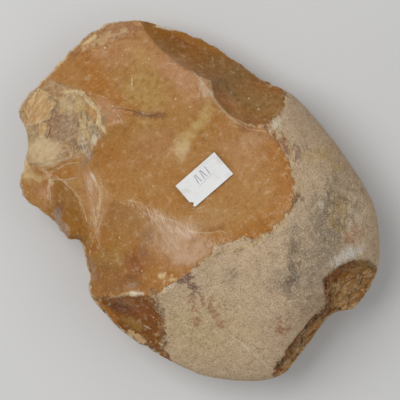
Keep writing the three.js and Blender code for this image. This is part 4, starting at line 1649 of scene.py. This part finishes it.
@dataclass(frozen=True)
class FloorFinish:
    """A plain pale studio floor."""

    colour: Colour = linear(216, 215, 213)
    shade: Colour = linear(210, 209, 207)

    def build(self) -> bpy.types.Material:
        """The floor's material."""
        shop = Shop("pale_floor")
        tint = shop.noise(60, 2, 0.5)
        shop.set(Base_Color=shop.blend(self.colour, self.shade, tint), Roughness=0.9)
        return shop.material


# ---- The studio ----


@dataclass(frozen=True)
class Studio:
    """The floor, the lights and the camera, which looks straight down on the stone."""

    aim: tuple[float, float, float] = (1.2, -2.4, 20.0)
    roll: float = -44.0
    lens: float = 150.0
    view_width: float = 140.0
    floor_size: float = 3000.0
    sky: tuple[float, float, float, float] = (0.95, 0.97, 1.0, 1.0)
    sky_strength: float = 0.38

    def floor(self) -> None:
        """Lays the floor."""
        sheet = bmesh.new()
        bmesh.ops.create_grid(sheet, x_segments=8, y_segments=8, size=self.floor_size / 2 * MM)
        floor = put("floor", as_mesh(sheet, "floor"))
        floor.data.materials.append(FloorFinish().build())
        floor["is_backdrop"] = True

    def light(self, name: str, bearing: float, height: float, away: float, size: float, power: float) -> None:
        """Hangs one soft lamp that shines at the stone.

        Args:
            name: the lamp's name.
            bearing: where it hangs round the stone, degrees from +X towards +Y.
            height: its angle above the floor, degrees.
            away: its distance, millimetres.
            size: its width, millimetres.
            power: its power in watts.
        """
        lamp = bpy.data.lights.new(name, "AREA")
        lamp.size = size * MM
        lamp.energy = power
        level = heading(bearing) * math.cos(math.radians(height))
        place = Vector((level[0], level[1], math.sin(math.radians(height)))) * away * MM
        holder = put(name, lamp)
        holder.location = place
        holder.rotation_euler = place.to_track_quat("Z", "Y").to_euler()

    def camera(self) -> None:
        """Sets up the camera."""
        data = bpy.data.cameras.new("camera")
        data.lens = self.lens
        data.clip_end = 20.0
        holder = put("camera", data)
        away = self.view_width * self.lens / data.sensor_width
        place = Vector(self.aim) + Vector((0, 0, away))
        turned = Matrix.Rotation(math.radians(self.roll), 4, "Z")
        holder.matrix_world = Matrix.Translation(place * MM) @ turned
        bpy.context.scene.camera = holder

    def build(self) -> None:
        """Sets up the whole studio."""
        self.camera()
        self.floor()
        self.light("window", bearing=112, height=58, away=900, size=600, power=4.8)
        self.light("fill", bearing=-40, height=50, away=1000, size=900, power=1.3)
        world = bpy.data.worlds.new("studio")
        world.use_nodes = True
        background = world.node_tree.nodes["Background"]
        background.inputs["Color"].default_value = self.sky
        background.inputs["Strength"].default_value = self.sky_strength
        bpy.context.scene.world = world
        bpy.context.scene.view_settings.view_transform = "Standard"


def dress(piece: bpy.types.Object, material: bpy.types.Material, node: str) -> None:
    """Gives a piece its finish and its place in the model.

    Args:
        piece: the piece.
        material: its finish.
        node: the plain solid that it stands for.
    """
    piece.data.materials.append(material)
    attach(piece, "root")
    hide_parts(node)
    log.info("%s: %d faces", piece.name, len(piece.data.polygons))


def main() -> None:
    """Builds the studio, the stone and its label."""
    logging.basicConfig(level=logging.INFO, format="%(name)s %(message)s")
    Studio().build()
    label = PaperLabel()
    stone = HandAxe().build(label)
    dress(stone, StoneFinish().build(), "flint_body")
    dress(label.build(), PaperFinish().build(), "paper_label")


if __name__ == "__main__":
    main()
